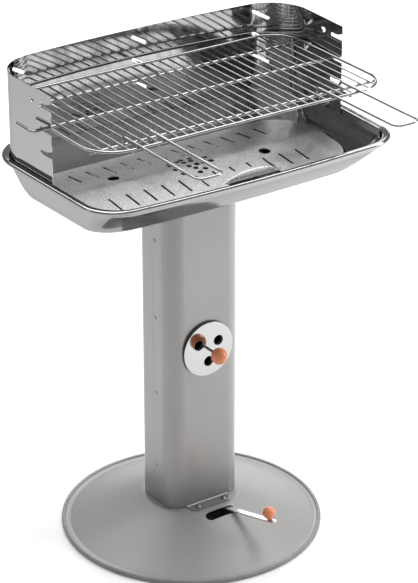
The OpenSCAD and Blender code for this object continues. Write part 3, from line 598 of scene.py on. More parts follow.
def filletPath(corners, radii, steps=6):
    # polyline of (r, z) corners with each inner corner rounded by an arc
    path = [Vector(corners[0])]
    for i in range(1, len(corners) - 1):
        p, q, r = Vector(corners[i - 1]), Vector(corners[i]), Vector(corners[i + 1])
        a, b = (p - q).normalized(), (r - q).normalized()
        half = a.angle(b) / 2
        if radii[i] < 1e-6 or abs(half - math.pi / 2) < 1e-3:
            path.append(q)
            continue
        back = min(radii[i] / math.tan(half), (p - q).length * 0.48, (r - q).length * 0.48)
        radius = back * math.tan(half)
        center = q + (a + b).normalized() * (radius / math.sin(half))
        start, end = q + a * back, q + b * back
        for k in range(steps + 1):
            ray = (start - center).normalized().slerp((end - center).normalized(), k / steps)
            path.append(center + ray * radius)
    path.append(Vector(corners[-1]))
    return path


def thicken(path, depth):
    # the same path moved sideways by depth, to its right
    aside = []
    for i, p in enumerate(path):
        before = path[i - 1] if i else p
        after = path[i + 1] if i < len(path) - 1 else p
        along = (after - before).normalized()
        aside.append(p + Vector((along.y, -along.x)) * depth)
    return aside


def makeBase():
    b = base
    flat, top = b["flatRadius"], shared["baseTop"]
    edge = b["edgeZ"] + b["sheet"]
    groove, half = b["grooveRadius"], b["grooveWidth"] / 2
    corners = [(0, top), (flat / 2, top), (flat, top),
               ((flat + groove - half) / 2, (top + edge) / 2), (groove - half, edge),
               (groove, edge - b["grooveDepth"]), (groove + half, edge),
               (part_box("base_disc")[1].x, edge)]
    upper = filletPath(corners, [0, 0, b["bendRadius"], 0, *b["grooveBends"], 0])
    lower = thicken(upper, b["sheet"])
    lower[0] = Vector((0, top - b["sheet"]))
    disc = lathe("base_disc", upper + lower[::-1], b["segments"])
    cutters = [moved(extrude("slot", stadium(*b["slot"]), 0, top * 2),
                     at(0, -(flat + b["slot"][1] / 2 - b["slotOverlap"]), 0))]
    for i in range(b["airHoles"]):
        a = math.radians(shared["leverTurn"] + 360 / b["airHoles"] * i)
        cutters.append(hole(b["airRadius"], 0, top * 2, *polar(b["airRing"], a)))
    for x, y in fourPlaces(*b["footScrews"]):
        cutters.append(hole(shared["screwHole"], 0, top * 2, x, y))
    cutters.append(hole(b["pivotHole"], 0, top * 2))
    fit(combine(disc, cutters), "stand", "base", ["base_disc"], 24)


edging = {
    "width": 0.007,
    "gap": 0.00015,      # round the disc's edge, which the edging grips
    "bulge": 0.0029,
    "chamfer": 0.0004,
    "lipTop": 0.0012,
    "lipFace": 0.0014,
}


def makeEdging():
    e = edging
    outer, height = min(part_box("base_edging")[1].xy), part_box("base_edging")[1].z
    inner, r, chamfer = outer - e["width"], e["bulge"], e["chamfer"]
    low, high = base["edgeZ"] - e["gap"], base["edgeZ"] + base["sheet"] + e["gap"]
    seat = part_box("base_disc")[1].x + e["gap"]
    profile = [(inner, chamfer), (inner + chamfer, 0)]
    profile += arc((outer - r, r), r, -90, 0, 8) + arc((outer - r, height - r), r, 0, 90, 8)
    profile += [(inner + e["lipTop"], height - chamfer),
                (inner + chamfer / 2, height - e["lipFace"]),
                (inner, high), (seat, high), (seat, low), (inner, low)]
    fit(lathe("base_edging", profile, base["segments"]), "stand", "edging", ["base_edging"], 50)


makeBase()
makeEdging()
print("base made")


# Column: two folded shells with foot tabs, joined along a seam at each side

column = {
    "halfWidth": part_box("column_front")[1].x,
    "halfDepth": 0.054,
    "frontRadius": 0.033,
    "rearRadius": 0.020,
    "sheet": 0.0015,
    "seamY": 0.005,
    "seamGap": 0.0003,
    "tabHalf": 0.047,
    "tabReach": 0.025,
    "tabCorner": 0.015,
    "tabBend": 0.003,
    "tabRoot": 0.014,         # how far the tab's fold runs up the shell
    "spindleHole": 0.0026,
    "lapFront": 0.009,
    "lapRear": 0.008,
    "lapStep": (0.0009, 0.0053),
}


def shellOutline(face):
    # closed outline of a folded shell, face -1 for the front and 1 for the rear
    c = column
    r = c["frontRadius"] if face < 0 else c["rearRadius"]
    seam = c["seamY"] if face < 0 else c["seamY"] + c["seamGap"]

    def side(inset):
        x, turn = c["halfWidth"] - inset, r - inset
        line = [(x, face * seam)]
        line += arc((x - turn, c["halfDepth"] - inset - turn), turn, 0, 90, 16)
        return line + [(-u, v) for u, v in reversed(line)]

    return [(x, face * y) for x, y in side(0) + side(c["sheet"])[::-1]]


def makeTab(face):
    # foot tab: folded out of the shell's face with a small bend, corners rounded
    c = column
    top, sheet, bent = shared["baseTop"], c["sheet"], c["tabBend"]
    near, far, half = c["halfDepth"], c["halfDepth"] + c["tabReach"], c["tabHalf"]
    over, root, k = shared["overrun"], c["tabRoot"], c["tabCorner"]
    section = [(near - sheet, top), (far, top), (far, top + sheet)]
    section += arc((near + bent, top + sheet + bent), bent, 270, 180, 6)
    section += [(near, top + root), (near - sheet, top + root)]
    tab = loft("tab", [[(x, y, z) for y, z in section] for x in (-half, half)])
    corner = arc((half - k, far - k), k, 0, 90, 10)
    outline = corner + [(-x, y) for x, y in reversed(corner)]
    outline += [(-half, near - over), (half, near - over)]
    combine(tab, [extrude("round", outline, top - over, top + over * 3)], "INTERSECT")
    return moved(tab, turned(180, "Z")) if face < 0 else tab


def makeColumn():
    c = column
    low, high, over = shared["baseTop"], shared["floorZ"], shared["overrun"]
    x, y = base["footScrews"]
    for face, name in ((-1, "column_front"), (1, "column_rear_shell")):
        shell = extrude(name, shellOutline(face), low, high)
        combine(shell, [makeTab(face)], "UNION")
        cutters = []
        if face < 0:
            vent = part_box("vent_disc")
            ventZ = (vent[0].z + vent[1].z) / 2
            ring, radius, angles = shared["ventHoles"]
            places = [(*polar(ring, math.radians(a)), radius, 40) for a in angles]
            for u, v, r, sides in places + [(0, 0, c["spindleHole"], 24)]:
                cutters.append(moved(hole(r, 0, over * 3, sides=sides),
                                     at(u, -over * 4, ventZ + v) @ turned(90, "X")))
        cutters += [hole(shared["screwHole"], low - over, low + over, side * x, face * y)
                    for side in (-1, 1)]
        combine(shell, cutters)
        if face < 0:
            fit(shell, "stand", "column", ["column_front"], 30)
    laps = []
    for side in (-1, 1):
        x0 = side * (c["halfWidth"] - c["sheet"] - c["seamGap"])
        x1 = x0 - side * c["sheet"]
        x2, y0 = x0 + side * c["lapStep"][0], c["lapStep"][1]
        front, rear = -c["lapFront"], c["lapRear"]
        for outline in ([(x0, front), (x0, rear), (x1, rear), (x1, front)],
                        [(x2, y0), (x2, rear), (x0, rear), (x0, y0)]):
            laps.append(extrude("lap", outline, low, high))
    fit(join("column_rear_shell", [shell] + laps), "stand", "column", ["column_rear"], 30)


makeColumn()
print("column made")


# Bowl: a pressed trough lofted from the floor over the rolled rim and back down

bowl = {
    "mouthHalf": 0.315,
    "mouthFront": 0.217,
    "mouthRear": 0.168,
    "taper": 0.007,
    "frontBow": 0.009,
    "rearBow": 0.008,
    "frontCorner": (0.066, 0.064),
    "rearCorner": 0.082,
    "floorIn": (0.048, 0.090, 0.054),    # at the sides, the front and the back
    "depth": 0.0795,
    "lip": 0.015,
    "lipBend": 0.0028,
    "sheet": 0.0012,
    "rimWidth": 0.014,
    "rimFrontShare": 0.75,
    "flange": 0.0008,                    # how far the flat flange lies under the bead's top
    "flangeShare": 0.55,                 # where the flange ends, as a share of the bead's place
    "rollHeight": 0.008,
    "turnIn": 0.6,                       # of the bead's edge, as a share of its radius
    "frontPull": 0.45,
    "frontShrink": 0.2,
    "bowShrink": 0.05,
    "duct": (0.046, 0.021),
    "boltIn": (0.0046, 0.004),           # from the nuts' outer sides to the bolts
    "screwY": (0.005, 0.046),            # the windshield's screws
    "screwReach": 0.006,                 # half length of their cutters, short of the bead
    "segments": 14,
    # depth below the lip, then how far each wall has come in, all as shares
    "wallShares": [(0, 0, 0, 0), (0.15, 0.05, 0.11, 0.15), (0.30, 0.09, 0.23, 0.31),
                   (0.54, 0.17, 0.43, 0.56), (0.69, 0.27, 0.56, 0.69), (0.82, 0.40, 0.67, 0.78),
                   (0.92, 0.58, 0.77, 0.86), (0.98, 0.78, 0.88, 0.93), (1, 1, 1, 1)],
}


def halfOutline(half, taper, front, rear, frx, fry, rr, frontBow, rearBow, count):
    # right half of the bowl's outline, from the middle of the front to the middle of the back
    cx = half - taper - frx
    frontTurn = math.atan(2 * frontBow / cx * frx / fry)
    rearTurn = math.atan(2 * rearBow / (half - rr))
    frontX = cx + frx * math.sin(frontTurn)
    rearX = half - rr + rr * math.sin(rearTurn)
    line = [(frontX * i / count, -front + frontBow * (i / count) ** 2) for i in range(count)]
    cy = -front + frontBow + fry * math.cos(frontTurn)
    for i in range(count + 1):
        a = -math.pi / 2 + frontTurn + (math.pi / 2 - frontTurn) * i / count
        line.append((cx + frx * math.cos(a), cy + fry * math.sin(a)))
    cy = rear - rearBow - rr * math.cos(rearTurn)
    turn = arc((half - rr, cy), rr, 0, 90 - math.degrees(rearTurn), count)
    (x0, y0), (x1, y1) = line[-1], turn[0]
    line += [(x0 + (x1 - x0) * t, y0 + (y1 - y0) * t) for t in (0.25, 0.5, 0.75)] + turn
    return line + [(rearX * i / count, rear - rearBow * (i / count) ** 2)
                   for i in reversed(range(count))]


def bowlRing(z, sideIn, frontIn, rearIn):
    b = bowl
    frx = b["frontCorner"][0] - sideIn + frontIn * b["frontPull"]
    fry = b["frontCorner"][1] - frontIn * b["frontShrink"]
    half = halfOutline(b["mouthHalf"] - sideIn, b["taper"], b["mouthFront"] - frontIn,
                       b["mouthRear"] - rearIn, frx, fry, b["rearCorner"] - sideIn,
                       b["frontBow"] - frontIn * b["bowShrink"], b["rearBow"], b["segments"])
    return [(x, y, z) for x, y in half] + [(-x, y, z) for x, y in reversed(half[1:-1])]


def rimRing(z, out):
    return bowlRing(z, -out, -out * bowl["rimFrontShare"], -out)


def smoothRows(rows, steps):
    # Catmull-Rom curve through rows of numbers
    result = []
    for k in range(len(rows) - 1):
        a, b, c = rows[max(k - 1, 0)], rows[k], rows[k + 1]
        d = rows[min(k + 2, len(rows) - 1)]
        for i in range(steps):
            t = i / steps
            result.append(tuple(
                0.5 * (2 * q + (r - p) * t + (2 * p - 5 * q + 4 * r - s) * t * t
                       + (3 * q - p - 3 * r + s) * t ** 3)
                for p, q, r, s in zip(a, b, c, d)))
    return result + [tuple(rows[-1])]


def mouthLine(inset, count):
    # right half of the mouth's outline, with the places of its straight side's two ends
    b = bowl
    half = halfOutline(b["mouthHalf"] - inset, b["taper"], b["mouthFront"] - inset,
                       b["mouthRear"] - inset, *b["frontCorner"], b["rearCorner"] - inset,
                       b["frontBow"], b["rearBow"], count)
    return half, 2 * count, 2 * count + 4


def shieldScrewPlaces():
    # a matrix for each screw: at its place on the side wall, with Z straight out of the wall
    line, first, last = mouthLine(0, bowl["segments"])
    (x0, y0), (x1, y1) = line[first], line[last]
    slope = (x1 - x0) / (y1 - y0)
    turn = math.degrees(math.atan(slope))
    low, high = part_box("windshield_screws")
    z = (low.z + high.z) / 2
    return [at(side * (x1 - (y1 - y) * slope), y, z) @ turned(-side * turn, "Z")
            @ turned(side * 90, "Y") for y in bowl["screwY"] for side in (1, -1)]


def shieldScrewHoles(reach):
    return [moved(hole(shared["screwHole"], -reach, reach), place)
            for place in shieldScrewPlaces()]


def makeBowl():
    b = bowl
    rim, sheet, lipBend, flange = shared["rimZ"], b["sheet"], b["lipBend"], b["flange"]
    floor, over = shared["floorZ"], shared["overrun"]

    def wall(t):
        depth = b["depth"] - b["lip"] - sheet + t
        return [bowlRing(rim - b["lip"] - depth * s[0], b["floorIn"][0] * s[1] - t,
                         b["floorIn"][1] * s[2] - t, b["floorIn"][2] * s[3] - t)
                for s in smoothRows(b["wallShares"], 3)]

    roll = b["rollHeight"] / 2
    out = b["rimWidth"] - roll
    # depth under the rim's top and reach outwards: the inner bend, the flat flange, the bead
    # and its turned-in edge, then the underside on the way back
    section = [(flange + lipBend * (1 - s), lipBend * (1 - c))
               for c, s in arc((0, 0), 1, 0, 90, 6)]
    section.append((flange, out * b["flangeShare"]))
    section += [(roll * (1 - s), out + roll * c) for c, s in arc((0, 0), 1, 100, -80, 12)]
    edge = out - roll * b["turnIn"]
    section += [(b["rollHeight"], edge), (b["rollHeight"] - sheet, edge),
                (sheet * 2.4, out - roll * 0.9), (flange + sheet, out * 0.5),
                (flange + sheet, lipBend + sheet * 1.2), (flange + sheet * 2.4, sheet)]
    rings = wall(0)[::-1] + [rimRing(rim - down, reach) for down, reach in section]
    rings += [bowlRing(rim - sheet * 4.5, -sheet, -sheet, -sheet)] + wall(sheet)
    cutters = [extrude("duct", rectangle(*b["duct"]), floor - over, floor + over)]
    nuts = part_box("head_nuts")[1]
    for x, y in fourPlaces(nuts.x - b["boltIn"][0], nuts.y - b["boltIn"][1]):
        cutters.append(hole(shared["screwHole"], floor - over, floor + over, x, y))
    cutters += shieldScrewHoles(b["screwReach"])
    fit(combine(loft("bowl", rings), cutters), "stand", "bowl", ["bowl"])


makeBowl()
print("bowl made")


# Windshield: one folded sheet, set just inside the bowl's mouth

shield = {
    "inset": 0.0009,
    "sheet": 0.0012,
    "bottomZ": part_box("windshield")[0].z,
    "topZ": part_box("windshield")[1].z,
    "frontY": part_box("windshield")[0].y,
    "frontStep": (0.01, 0.0015),         # share of the side and Y to the second ring
    "segments": 28,
    "levels": (0.8375, 0.8810, 0.9245),
    "notchHeight": 0.0075,
    "notchLength": 0.036,
    "mouthShare": 0.45,
    "mouthHeight": 0.014,
    "mouthOut": 0.002,
    "backSlot": (0.036, 0.006),
    "backSlotX": 0.262,
    "backSlotRise": 0.0012,
    "backSlotTurn": -30,
    "backSlotReach": (0.172, 0.118),     # rear end and length of the cutters
    "spit": (0.0195, 0.9255, 0.005),     # Y, Z and radius of the spit holes
    "spitNotch": (0.0055, 0.002, 0.0025),    # from the hole's middle, and its own radius
    "sideReach": 0.4,                    # half length of the cutters through both sides
    "screwReach": 0.007,
}


def shieldLine(inset):
    # open line from the right front edge round the back to the left front edge
    s = shield
    half, first, last = mouthLine(inset, s["segments"])
    (x0, y0), (x1, y1) = half[first], half[last]
    share, step = (s["frontY"] - y0) / (y1 - y0), s["frontStep"]
    line = [(x0 + (x1 - x0) * share, s["frontY"]),
            (x0 + (x1 - x0) * (share + step[0]), s["frontY"] + step[1])] + half[last:]
    return line + [(-x, y) for x, y in reversed(line[:-1])]


def sideCutter(outline):
    # prism along X over an outline in Y and Z, through both sides
    reach = shield["sideReach"]
    return loft("notch", [[(x, y, z) for y, z in outline] for x in (-reach, reach)])


def makeShield():
    s = shield
    low, high = s["bottomZ"], s["topZ"]
    # share of the thickness and height, round the section
    section = [(0, low + 0.0003), (0, low + 0.04), (0, high - 0.0005), (0.15, high - 0.00015),
               (0.5, high), (0.85, high - 0.00015), (1, high - 0.0005), (1, low + 0.04),
               (1, low + 0.0003), (0.8, low), (0.2, low)]
    outer, inner = shieldLine(s["inset"]), shieldLine(s["inset"] + s["sheet"])
    sheet = loft("windshield", [[(x0 + (x1 - x0) * share, y0 + (y1 - y0) * share, z)
                                 for share, z in section]
                                for (x0, y0), (x1, y1) in zip(outer, inner)])
    cutters = []
    half, front = s["notchHeight"] / 2, s["frontY"] - s["mouthOut"]
    end = s["notchLength"] + s["frontY"] - half
    rear, length = s["backSlotReach"]
    for z in s["levels"]:
        cutters.append(sideCutter(
            [(front, z - half)] + arc((end, z), half, -90, 90, 12)
            + [(end - s["notchLength"] * s["mouthShare"], z + half),
               (front, z - half + s["mouthHeight"])]))
        for x in (-1, 0, 1):
            cutters.append(moved(extrude("slot", stadium(*s["backSlot"]), 0, length),
                                 at(x * s["backSlotX"], rear, z + s["backSlotRise"])
                                 @ turned(90, "X") @ turned(s["backSlotTurn"], "Z")))
    y, z, radius = s["spit"]
    dy, dz, small = s["spitNotch"]
    cutters += [sideCutter(arc((y, z), radius, 0, 345, 23)),
                sideCutter(arc((y + dy, z + dz), small, 0, 345, 23))]
    cutters += shieldScrewHoles(s["screwReach"])
    fit(combine(sheet, cutters), "stand", "shield", ["windshield"])


makeShield()
print("windshield made")


# Charcoal plate: a flat sheet with its holes cut, bent along its ridge afterwards

plate = {
    "halfWidth": 0.289,
    "halfDepth": 0.121,
    "corner": 0.066,
    "sheet": 0.0012,
    "edgeBevel": 0.0003,
    "ridgeZ": 0.7392,
    "slope": 5.5,
    "ridgeBend": 0.010,
    "slotRow": 12,
    "slotPitch": 0.0367,
    "slot": (0.046, 0.0045),
    "slotIn": 0.044,
    "shortSlot": 0.020,
    "fingerHole": (0.148, 0.0242, 0.011),    # X, Y and radius
    "holeRadius": 0.00525,
    "clusterRadius": 0.042,
    "cluster": [(0, -0.45), (0.24, -0.18), (-0.16, -0.18), (0.34, -0.68), (-0.04, -0.86),
                (0.95, -0.2), (-0.88, -0.2), (-0.78, -0.68), (0.56, -0.2), (0.95, 0.28),
                (0.22, 0.27), (-0.15, 0.27), (0.34, 0.55), (-0.07, 0.62), (-0.33, 0.53),
                (-0.86, 0.28), (-0.75, 0.52)],
    "lipX": 0.072,
    "lipY": -0.0945,
    "lipLength": 0.132,
    "lipHeight": 0.015,
    "lipBend": 0.0028,
    "lipFoot": 0.0045,       # how far the lip runs on under the sheet
    "lipEnd": 0.985,         # where its thin ends stop, as a share of its length
    "lipSteps": 48,
    "lipOpening": (0.86, 0.009, 0.0074),     # share of its length, width and way to the front
    "foot": (0.0122, 0.0006),
    "feet": (0.1835, 0.09215),
    "footClear": 0.0015,
}


def plateDrop(y):
    # how far the plate lies below its ridge
    curve, tan = plate["ridgeBend"], math.tan(math.radians(plate["slope"]))
    y = abs(y)
    return tan * (y if y > curve else (y * y + curve * curve) / (2 * curve))


def makePlateSheet():
    p = plate
    r, over = p["corner"], shared["overrun"]
    outline = roundedBox(p["halfWidth"], p["halfDepth"], p["halfDepth"], r, r, 16)
    sheet = soften(extrude("charcoal_plate", outline, -p["sheet"], 0), p["edgeBevel"], 2, 60)
    holes = []
    for i in range(p["slotRow"]):
        for face in (-1, 1):
            x = (i + 0.5 - p["slotRow"] / 2) * p["slotPitch"]
            short = face < 0 and 0 < x < p["lipX"] + p["lipLength"] / 2 - p["slotPitch"]
            length = p["shortSlot"] if short else p["slot"][0]
            slot = extrude("slot", stadium(length, p["slot"][1]), -over, over)
            holes.append(moved(slot, at(x, face * (p["slotIn"] + length / 2), 0)
                               @ turned(90, "Z")))
    x, y, r = p["fingerHole"]
    holes += [hole(r, -over, over, side * x, -side * y, 40) for side in (-1, 1)]
    holes += [hole(p["holeRadius"], -over, over, x * p["clusterRadius"], y * p["clusterRadius"])
              for x, y in p["cluster"]]
    share, width, forward = p["lipOpening"]
    opening = extrude("opening", stadium(p["lipLength"] * share, width, 14), -over, over)
    holes.append(moved(opening, at(p["lipX"], p["lipY"] - forward, 0)))
    combine(sheet, [join("holes", holes)])
    slope = math.cos(math.radians(p["slope"]))
    return bend(sheet, [i * p["ridgeBend"] / 5 for i in range(-5, 6)],
                lambda x, y, z: (x, y, p["ridgeZ"] + z / slope - plateDrop(y)))


def makeLip():
    # crescent bent up from the plate, thin at both ends
    p = plate
    reach, height, half = p["lipLength"] / 2, p["lipHeight"], p["sheet"] / 2
    chord = (reach ** 2 + height ** 2) / (2 * height)
    low = p["ridgeZ"] - plateDrop(p["lipY"]) - half
    rings = []
    for i in range(p["lipSteps"] + 1):
        x = reach * math.sin(math.pi / 2 * (i / (p["lipSteps"] / 2) - 1)) * p["lipEnd"]
        h = math.sqrt(chord ** 2 - x * x) + height - chord
        r = min(p["lipBend"], h * 0.8)
        path = [(r + p["lipFoot"], 0.0)]
        path += [(r - r * math.sin(a), r - r * math.cos(a))
                 for a in (0, 0.3, 0.6, 0.9, 1.2, math.pi / 2)]
        path += [(0, max(h * 0.5, r)), (0, h)]
        near, far = [], []
        for k, (y, z) in enumerate(path):
            y0, z0 = path[max(k - 1, 0)]
            y1, z1 = path[min(k + 1, len(path) - 1)]
            size = math.hypot(y1 - y0, z1 - z0) or 1
            ny, nz = (z1 - z0) / size, -(y1 - y0) / size
            near.append((y + ny * half, z + nz * half))
            far.append((y - ny * half, z - nz * half))
        section = near + [(0, path[-1][1] + half * 0.8)] + far[::-1]
        rings.append([(p["lipX"] + x, p["lipY"] - half + y, low + z) for y, z in section])
    return loft("lifting_lip", rings)


def makePlate():
    p = plate
    pieces = [makePlateSheet()]
    for x, y in fourPlaces(*p["feet"]):
        top = p["ridgeZ"] - plateDrop(y) - p["foot"][1]
        foot = extrude("foot", rectangle(*p["foot"]), shared["floorZ"] + p["footClear"],
                       top - p["sheet"] * 0.1)
        pieces.append(soften(moved(foot, at(x, y, 0)), p["edgeBevel"]))
    fit(join("charcoal_plate_whole", pieces), "charcoal_tray", "plate", ["charcoal_plate"], 30)
    fit(makeLip(), "charcoal_tray", "lip", ["charcoal_plate"])


makePlate()
print("charcoal plate made")


# Cooking grill: frame wire, long wires, cross rods with hooked ends, and rear pegs

grill = {
    "half": 0.306,
    "front": 0.189,
    "rear": 0.147,
    "frontCorner": 0.066,
    "rearCorner": 0.060,
    "frameRadius": 0.00275,
    "wireRadius": 0.0016,
    "rodRadius": 0.003,
    "wires": 30,
    "pitch": 0.0195,
    "frameZ": 0.88635,
    "wireZ": 0.8852,
    "rodZ": 0.88055,
    "rods": (-0.012, -0.150, 0.092),     # the hooked middle one, the front one, the rear one
    "rodIn": 0.0015,                     # how far the straight rods stop inside the frame
    "hookX": 0.3331,
    "hookBend": 0.009,
    "hookLength": 0.048,
    "pegX": 0.262,
    "pegRadius": 0.00198,
    "pegBend": 0.13,
    "pegEnds": (0.001, 0.0014),          # from the ends of the CAD's pegs
    "pegBack": 0.006,                    # how much shorter the outer two are
    "seam": (0.12, 1.12),                # X and share of the frame wire's radius
    "weldRadius": 0.0017,
    # share of that radius, flatness and height, at the wires' ends and on the rods
    "endWeld": (1.1, 0.8, 0.0003),
    "rodWeld": (1.25, 0.55, 0.0004),
    "weldIn": 0.001,
}


def wireEnd(x, corner):
    # how far a long wire stops short of the frame's outer line
    over = max(0, abs(x) - grill["half"] + corner)
    clear = corner - grill["frameRadius"] - 0.0001
    return corner - math.sqrt(max(clear ** 2 - over ** 2, 0))


def weldBead(place, radius, flat):
    # small ball of weld metal, squashed
    def change(mesh):
        bmesh.ops.create_icosphere(mesh, subdivisions=2, radius=radius)
        bmesh.ops.scale(mesh, vec=(1, 1, flat), verts=mesh.verts)
        bmesh.ops.translate(mesh, vec=place, verts=mesh.verts)
    return edited(addMesh("weld", [], []), change)


def fitWires(name, wires, node):
    fit(join(name, wires), "grill", "wire", [node], 50)


def makeGrill():
    g = grill
    z, front, rear = g["frameZ"], g["front"], g["rear"]
    path = [(x, y, z) for x, y in roundedBox(g["half"], front, rear, g["frontCorner"],
                                             g["rearCorner"], 18)]
    rim = sweep("wire", path, g["frameRadius"], 18, closed=True)
    x, share = g["seam"]
    seam = weldBead((x, rear, z), g["frameRadius"] * share, 1)
    fitWires("grill_frame", [rim, seam], "grill_frame")

    wires, welds = [], []
    z, weld, back = g["wireZ"], g["weldRadius"], g["weldIn"]
    endShare, endFlat, endUp = g["endWeld"]
    rodShare, rodFlat, rodUp = g["rodWeld"]
    for i in range(g["wires"]):
        x = (i - (g["wires"] - 1) / 2) * g["pitch"]
        edge = abs(x) + g["wireRadius"]
        y0, y1 = wireEnd(edge, g["frontCorner"]) - front, rear - wireEnd(edge, g["rearCorner"])
        wires.append(sweep("wire", [(x, y0 + g["wireRadius"], z), (x, 0, z),
                                    (x, y1 - g["wireRadius"], z)], g["wireRadius"], 12))
        welds += [weldBead((x, y, z + endUp), weld * endShare, endFlat)
                  for y in (y0 + back, y1 - back)]
        welds += [weldBead((x, y, (z + g["rodZ"]) / 2 + rodUp), weld * rodShare, rodFlat)
                  for y in g["rods"] if y0 < y < y1 and abs(x) < g["half"] - 0.01]
    fitWires("grill_long_wires", wires + welds, "grill_wires")

    z, curve, hook = g["rodZ"], g["hookBend"], g["hookX"]
    middle, y0, y1 = g["rods"]
    right = arc((hook - curve, middle + curve, z), curve, -90, 0, 10)
    right.append((hook, middle + g["hookLength"], z))
    left = [(-x, y, height) for x, y, height in reversed(right)]
    rods = [sweep("rod", left + [(0, middle, z)] + right, g["rodRadius"], 16)]
    corner = g["frontCorner"]
    over = corner - front - y0
    frontHalf = g["half"] - corner + math.sqrt(corner ** 2 - over ** 2)
    for y, half in ((y0, frontHalf - g["rodIn"]), (y1, g["half"] - g["rodIn"])):
        rods.append(sweep("rod", [(-half, y, z), (0, y, z), (half, y, z)], g["rodRadius"], 16))
    fitWires("grill_rods", rods, "grill_cross_rods")

    low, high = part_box("grill_rear_pegs")
    z, y = (low.z + high.z) / 2, low.y + g["pegEnds"][0]
    pegs = []
    for side in (-1, 0, 1):
        x, end = side * g["pegX"], high.y - g["pegEnds"][1] - abs(side) * g["pegBack"]
        pegs.append(sweep("peg", [(x, y, z), (x, g["pegBend"], z), (x, end, z)],
                          g["pegRadius"]))
    fitWires("grill_pegs", pegs, "grill_rear_pegs")


makeGrill()
print("grill made")


# Handles: one wire each, hooked round the front cross rod

handle = {
    "x": 0.203775,
    "half": 0.0258375,
    "reach": 0.368,
    "tip": 0.015,
    "hookY": -0.147,
    "hookRadius": 0.009,
    "hookTail": 0.024,
    "wireRadius": 0.0025,
    "legZ": 0.8919,
}


def makeHandle(side, body, node):
    h = handle
    middle, z, r, tip = side * h["x"], h["legZ"], h["hookRadius"], h["tip"]
    x = middle + h["half"]
    leg = [(x, h["hookY"] - h["hookTail"], z - r * 2)]
    leg += [(x, y, height) for y, height in arc((h["hookY"], z - r), r, -90, 90, 14)]
    leg.append((x, (h["hookY"] - h["reach"]) / 2, z))
    leg += arc((x - tip, tip - h["reach"], z), tip, 0, -90, 12)
    other = [(2 * middle - u, y, height) for u, y, height in reversed(leg)]
    wire = sweep("handle_" + body, leg + other, h["wireRadius"], 16)
    fit(wire, body, "wire", [node], 50)


makeHandle(-1, "left_handle", "handle_left")
makeHandle(1, "right_handle", "handle_right")
print("handles made")


# Air vent: a mirror disc on a spindle with a turned ball in front

vent = {
    "z": 0.388,
    "faceY": -0.060,
    "radius": 0.054,
    "sheet": 0.0015,
    "edgeBevel": 0.0004,
    "ballY": -0.095,
    "ballRadius": 0.0155,
    "ballFace": 0.0045,       # radius of the flat round the bore
    "boreDepth": -0.0078,
    "boreGap": 0.00005,
    "spindle": 0.0025,
    "spindleTips": (0.8, 0.85),      # shares of its radius, at the back and the front
    "spindleHole": 0.00255,
    "shoulder": (0.005, 0.006),      # radius and far end
}


def towardsCook(y):
    # turns Z to face the cook, on the vent's axis
    return at(0, y, vent["z"]) @ turned(90, "X")


def makeVent():
    v = vent
    over, bevel, seat, face = shared["overrun"], v["edgeBevel"], v["sheet"], v["faceY"]
    disc = extrude("vent_disc", circle(v["radius"], 160), 0, seat)
    ring, radius, angles = shared["ventHoles"]
    cutters = [hole(v["spindleHole"], -over, over)]
    cutters += [hole(radius, -over, over, *polar(ring, math.radians(a)), 48) for a in angles]
    combine(disc, [join("holes", cutters)])
    soften(disc, bevel, 3, 60)
    fit(moved(disc, towardsCook(face + seat)), "vent", "disc", ["vent_disc"], 30)

    s, (t, far) = v["spindle"], v["shoulder"]
    low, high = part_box("vent_spindle")
    back, front = high.y - face, low.y - face
    rearTip, frontTip = v["spindleTips"]
    # radius, then depth from the disc's face towards the column
    profile = [(0, back), (s * rearTip, back), (s, back - 0.0005), (s, far),
               (t - bevel, far - 0.0003), (t, far - 0.0007), (t, seat + bevel),
               (t - bevel, seat), (s, seat), (s, front + bevel), (s * frontTip, front),
               (0, front)]
    rod = lathe("vent_spindle", [(r, -depth) for r, depth in profile], 40)
    fit(moved(rod, towardsCook(face)), "vent", "zinc", ["vent_spindle"])

    r, flat, bore = v["ballRadius"], v["ballFace"], s + v["boreGap"]
    end = -math.sqrt(r * r - flat ** 2)
    first = math.degrees(math.atan2(-0.99 * end, flat))
    profile = [(bore, v["boreDepth"]), (bore, end), (flat - 0.001, end), (flat, 0.99 * end)]
    profile += arc((0, 0), r, -first, 90, 40)[1:-1] + [(0, r), (0, v["boreDepth"])]
    ball = lathe("vent_ball", profile, 64)
    fit(moved(ball, towardsCook(v["ballY"])), "vent", "wood", ["vent_knob"])


makeVent()
print("vent made")


# Damper: a bent strip under the base that ends in a ball

damper = {
    "leverWidth": 0.012,
    "leverSheet": 0.0025,
    "leverZ": 0.0544,
    "bendAt": 0.1005,
    "reach": 0.214,
    "slope": 8.6,
    "bendHalf": 0.006,
    "cornerRadius": 0.003,
    "edgeBevel": 0.0003,
    "pivotRadius": 0.00305,
    "rivets": (0.01728, 0.04032),
    "rivetHole": 0.00235,
    "ballOut": 0.1015,
    "ballHole": 0.00255,
    "ballRadius": 0.012,
    "neck": (0.00504, 0.003),        # radius and length
    "neckBevel": 0.0006,
    "collar": (1.06, 0.985),         # shares of the neck's radius and the ball's underside
    "ballSeat": 0.94,                # its middle over the neck, as a share of its radius
    "screw": (0.0024, 0.0015, 0.0004),   # radius, reach below the strip and into the ball
}


def leverPlace(s):
    # Y, Z and turn of the lever's underside at a distance along it
    d = damper
    slope = math.radians(d["slope"])
    start, stop = d["bendAt"] - d["bendHalf"], d["bendAt"] + d["bendHalf"]
    if s <= start:
        return -s, 0.0, 0.0
    if s >= stop:
        beyond = s - d["bendAt"]
        return -d["bendAt"] - beyond * math.cos(slope), beyond * math.sin(slope), slope
    turn = slope * (s - start) / (stop - start)
    rise = (stop - start) * (1 - math.cos(turn)) / slope
    run = (stop - start) * math.sin(turn) / slope
    return -start - run, rise, turn


def leverPoint(x, y, z):
    along, height, turn = leverPlace(-y)
    return x, along + z * math.sin(turn), height + z * math.cos(turn) + damper["leverZ"]


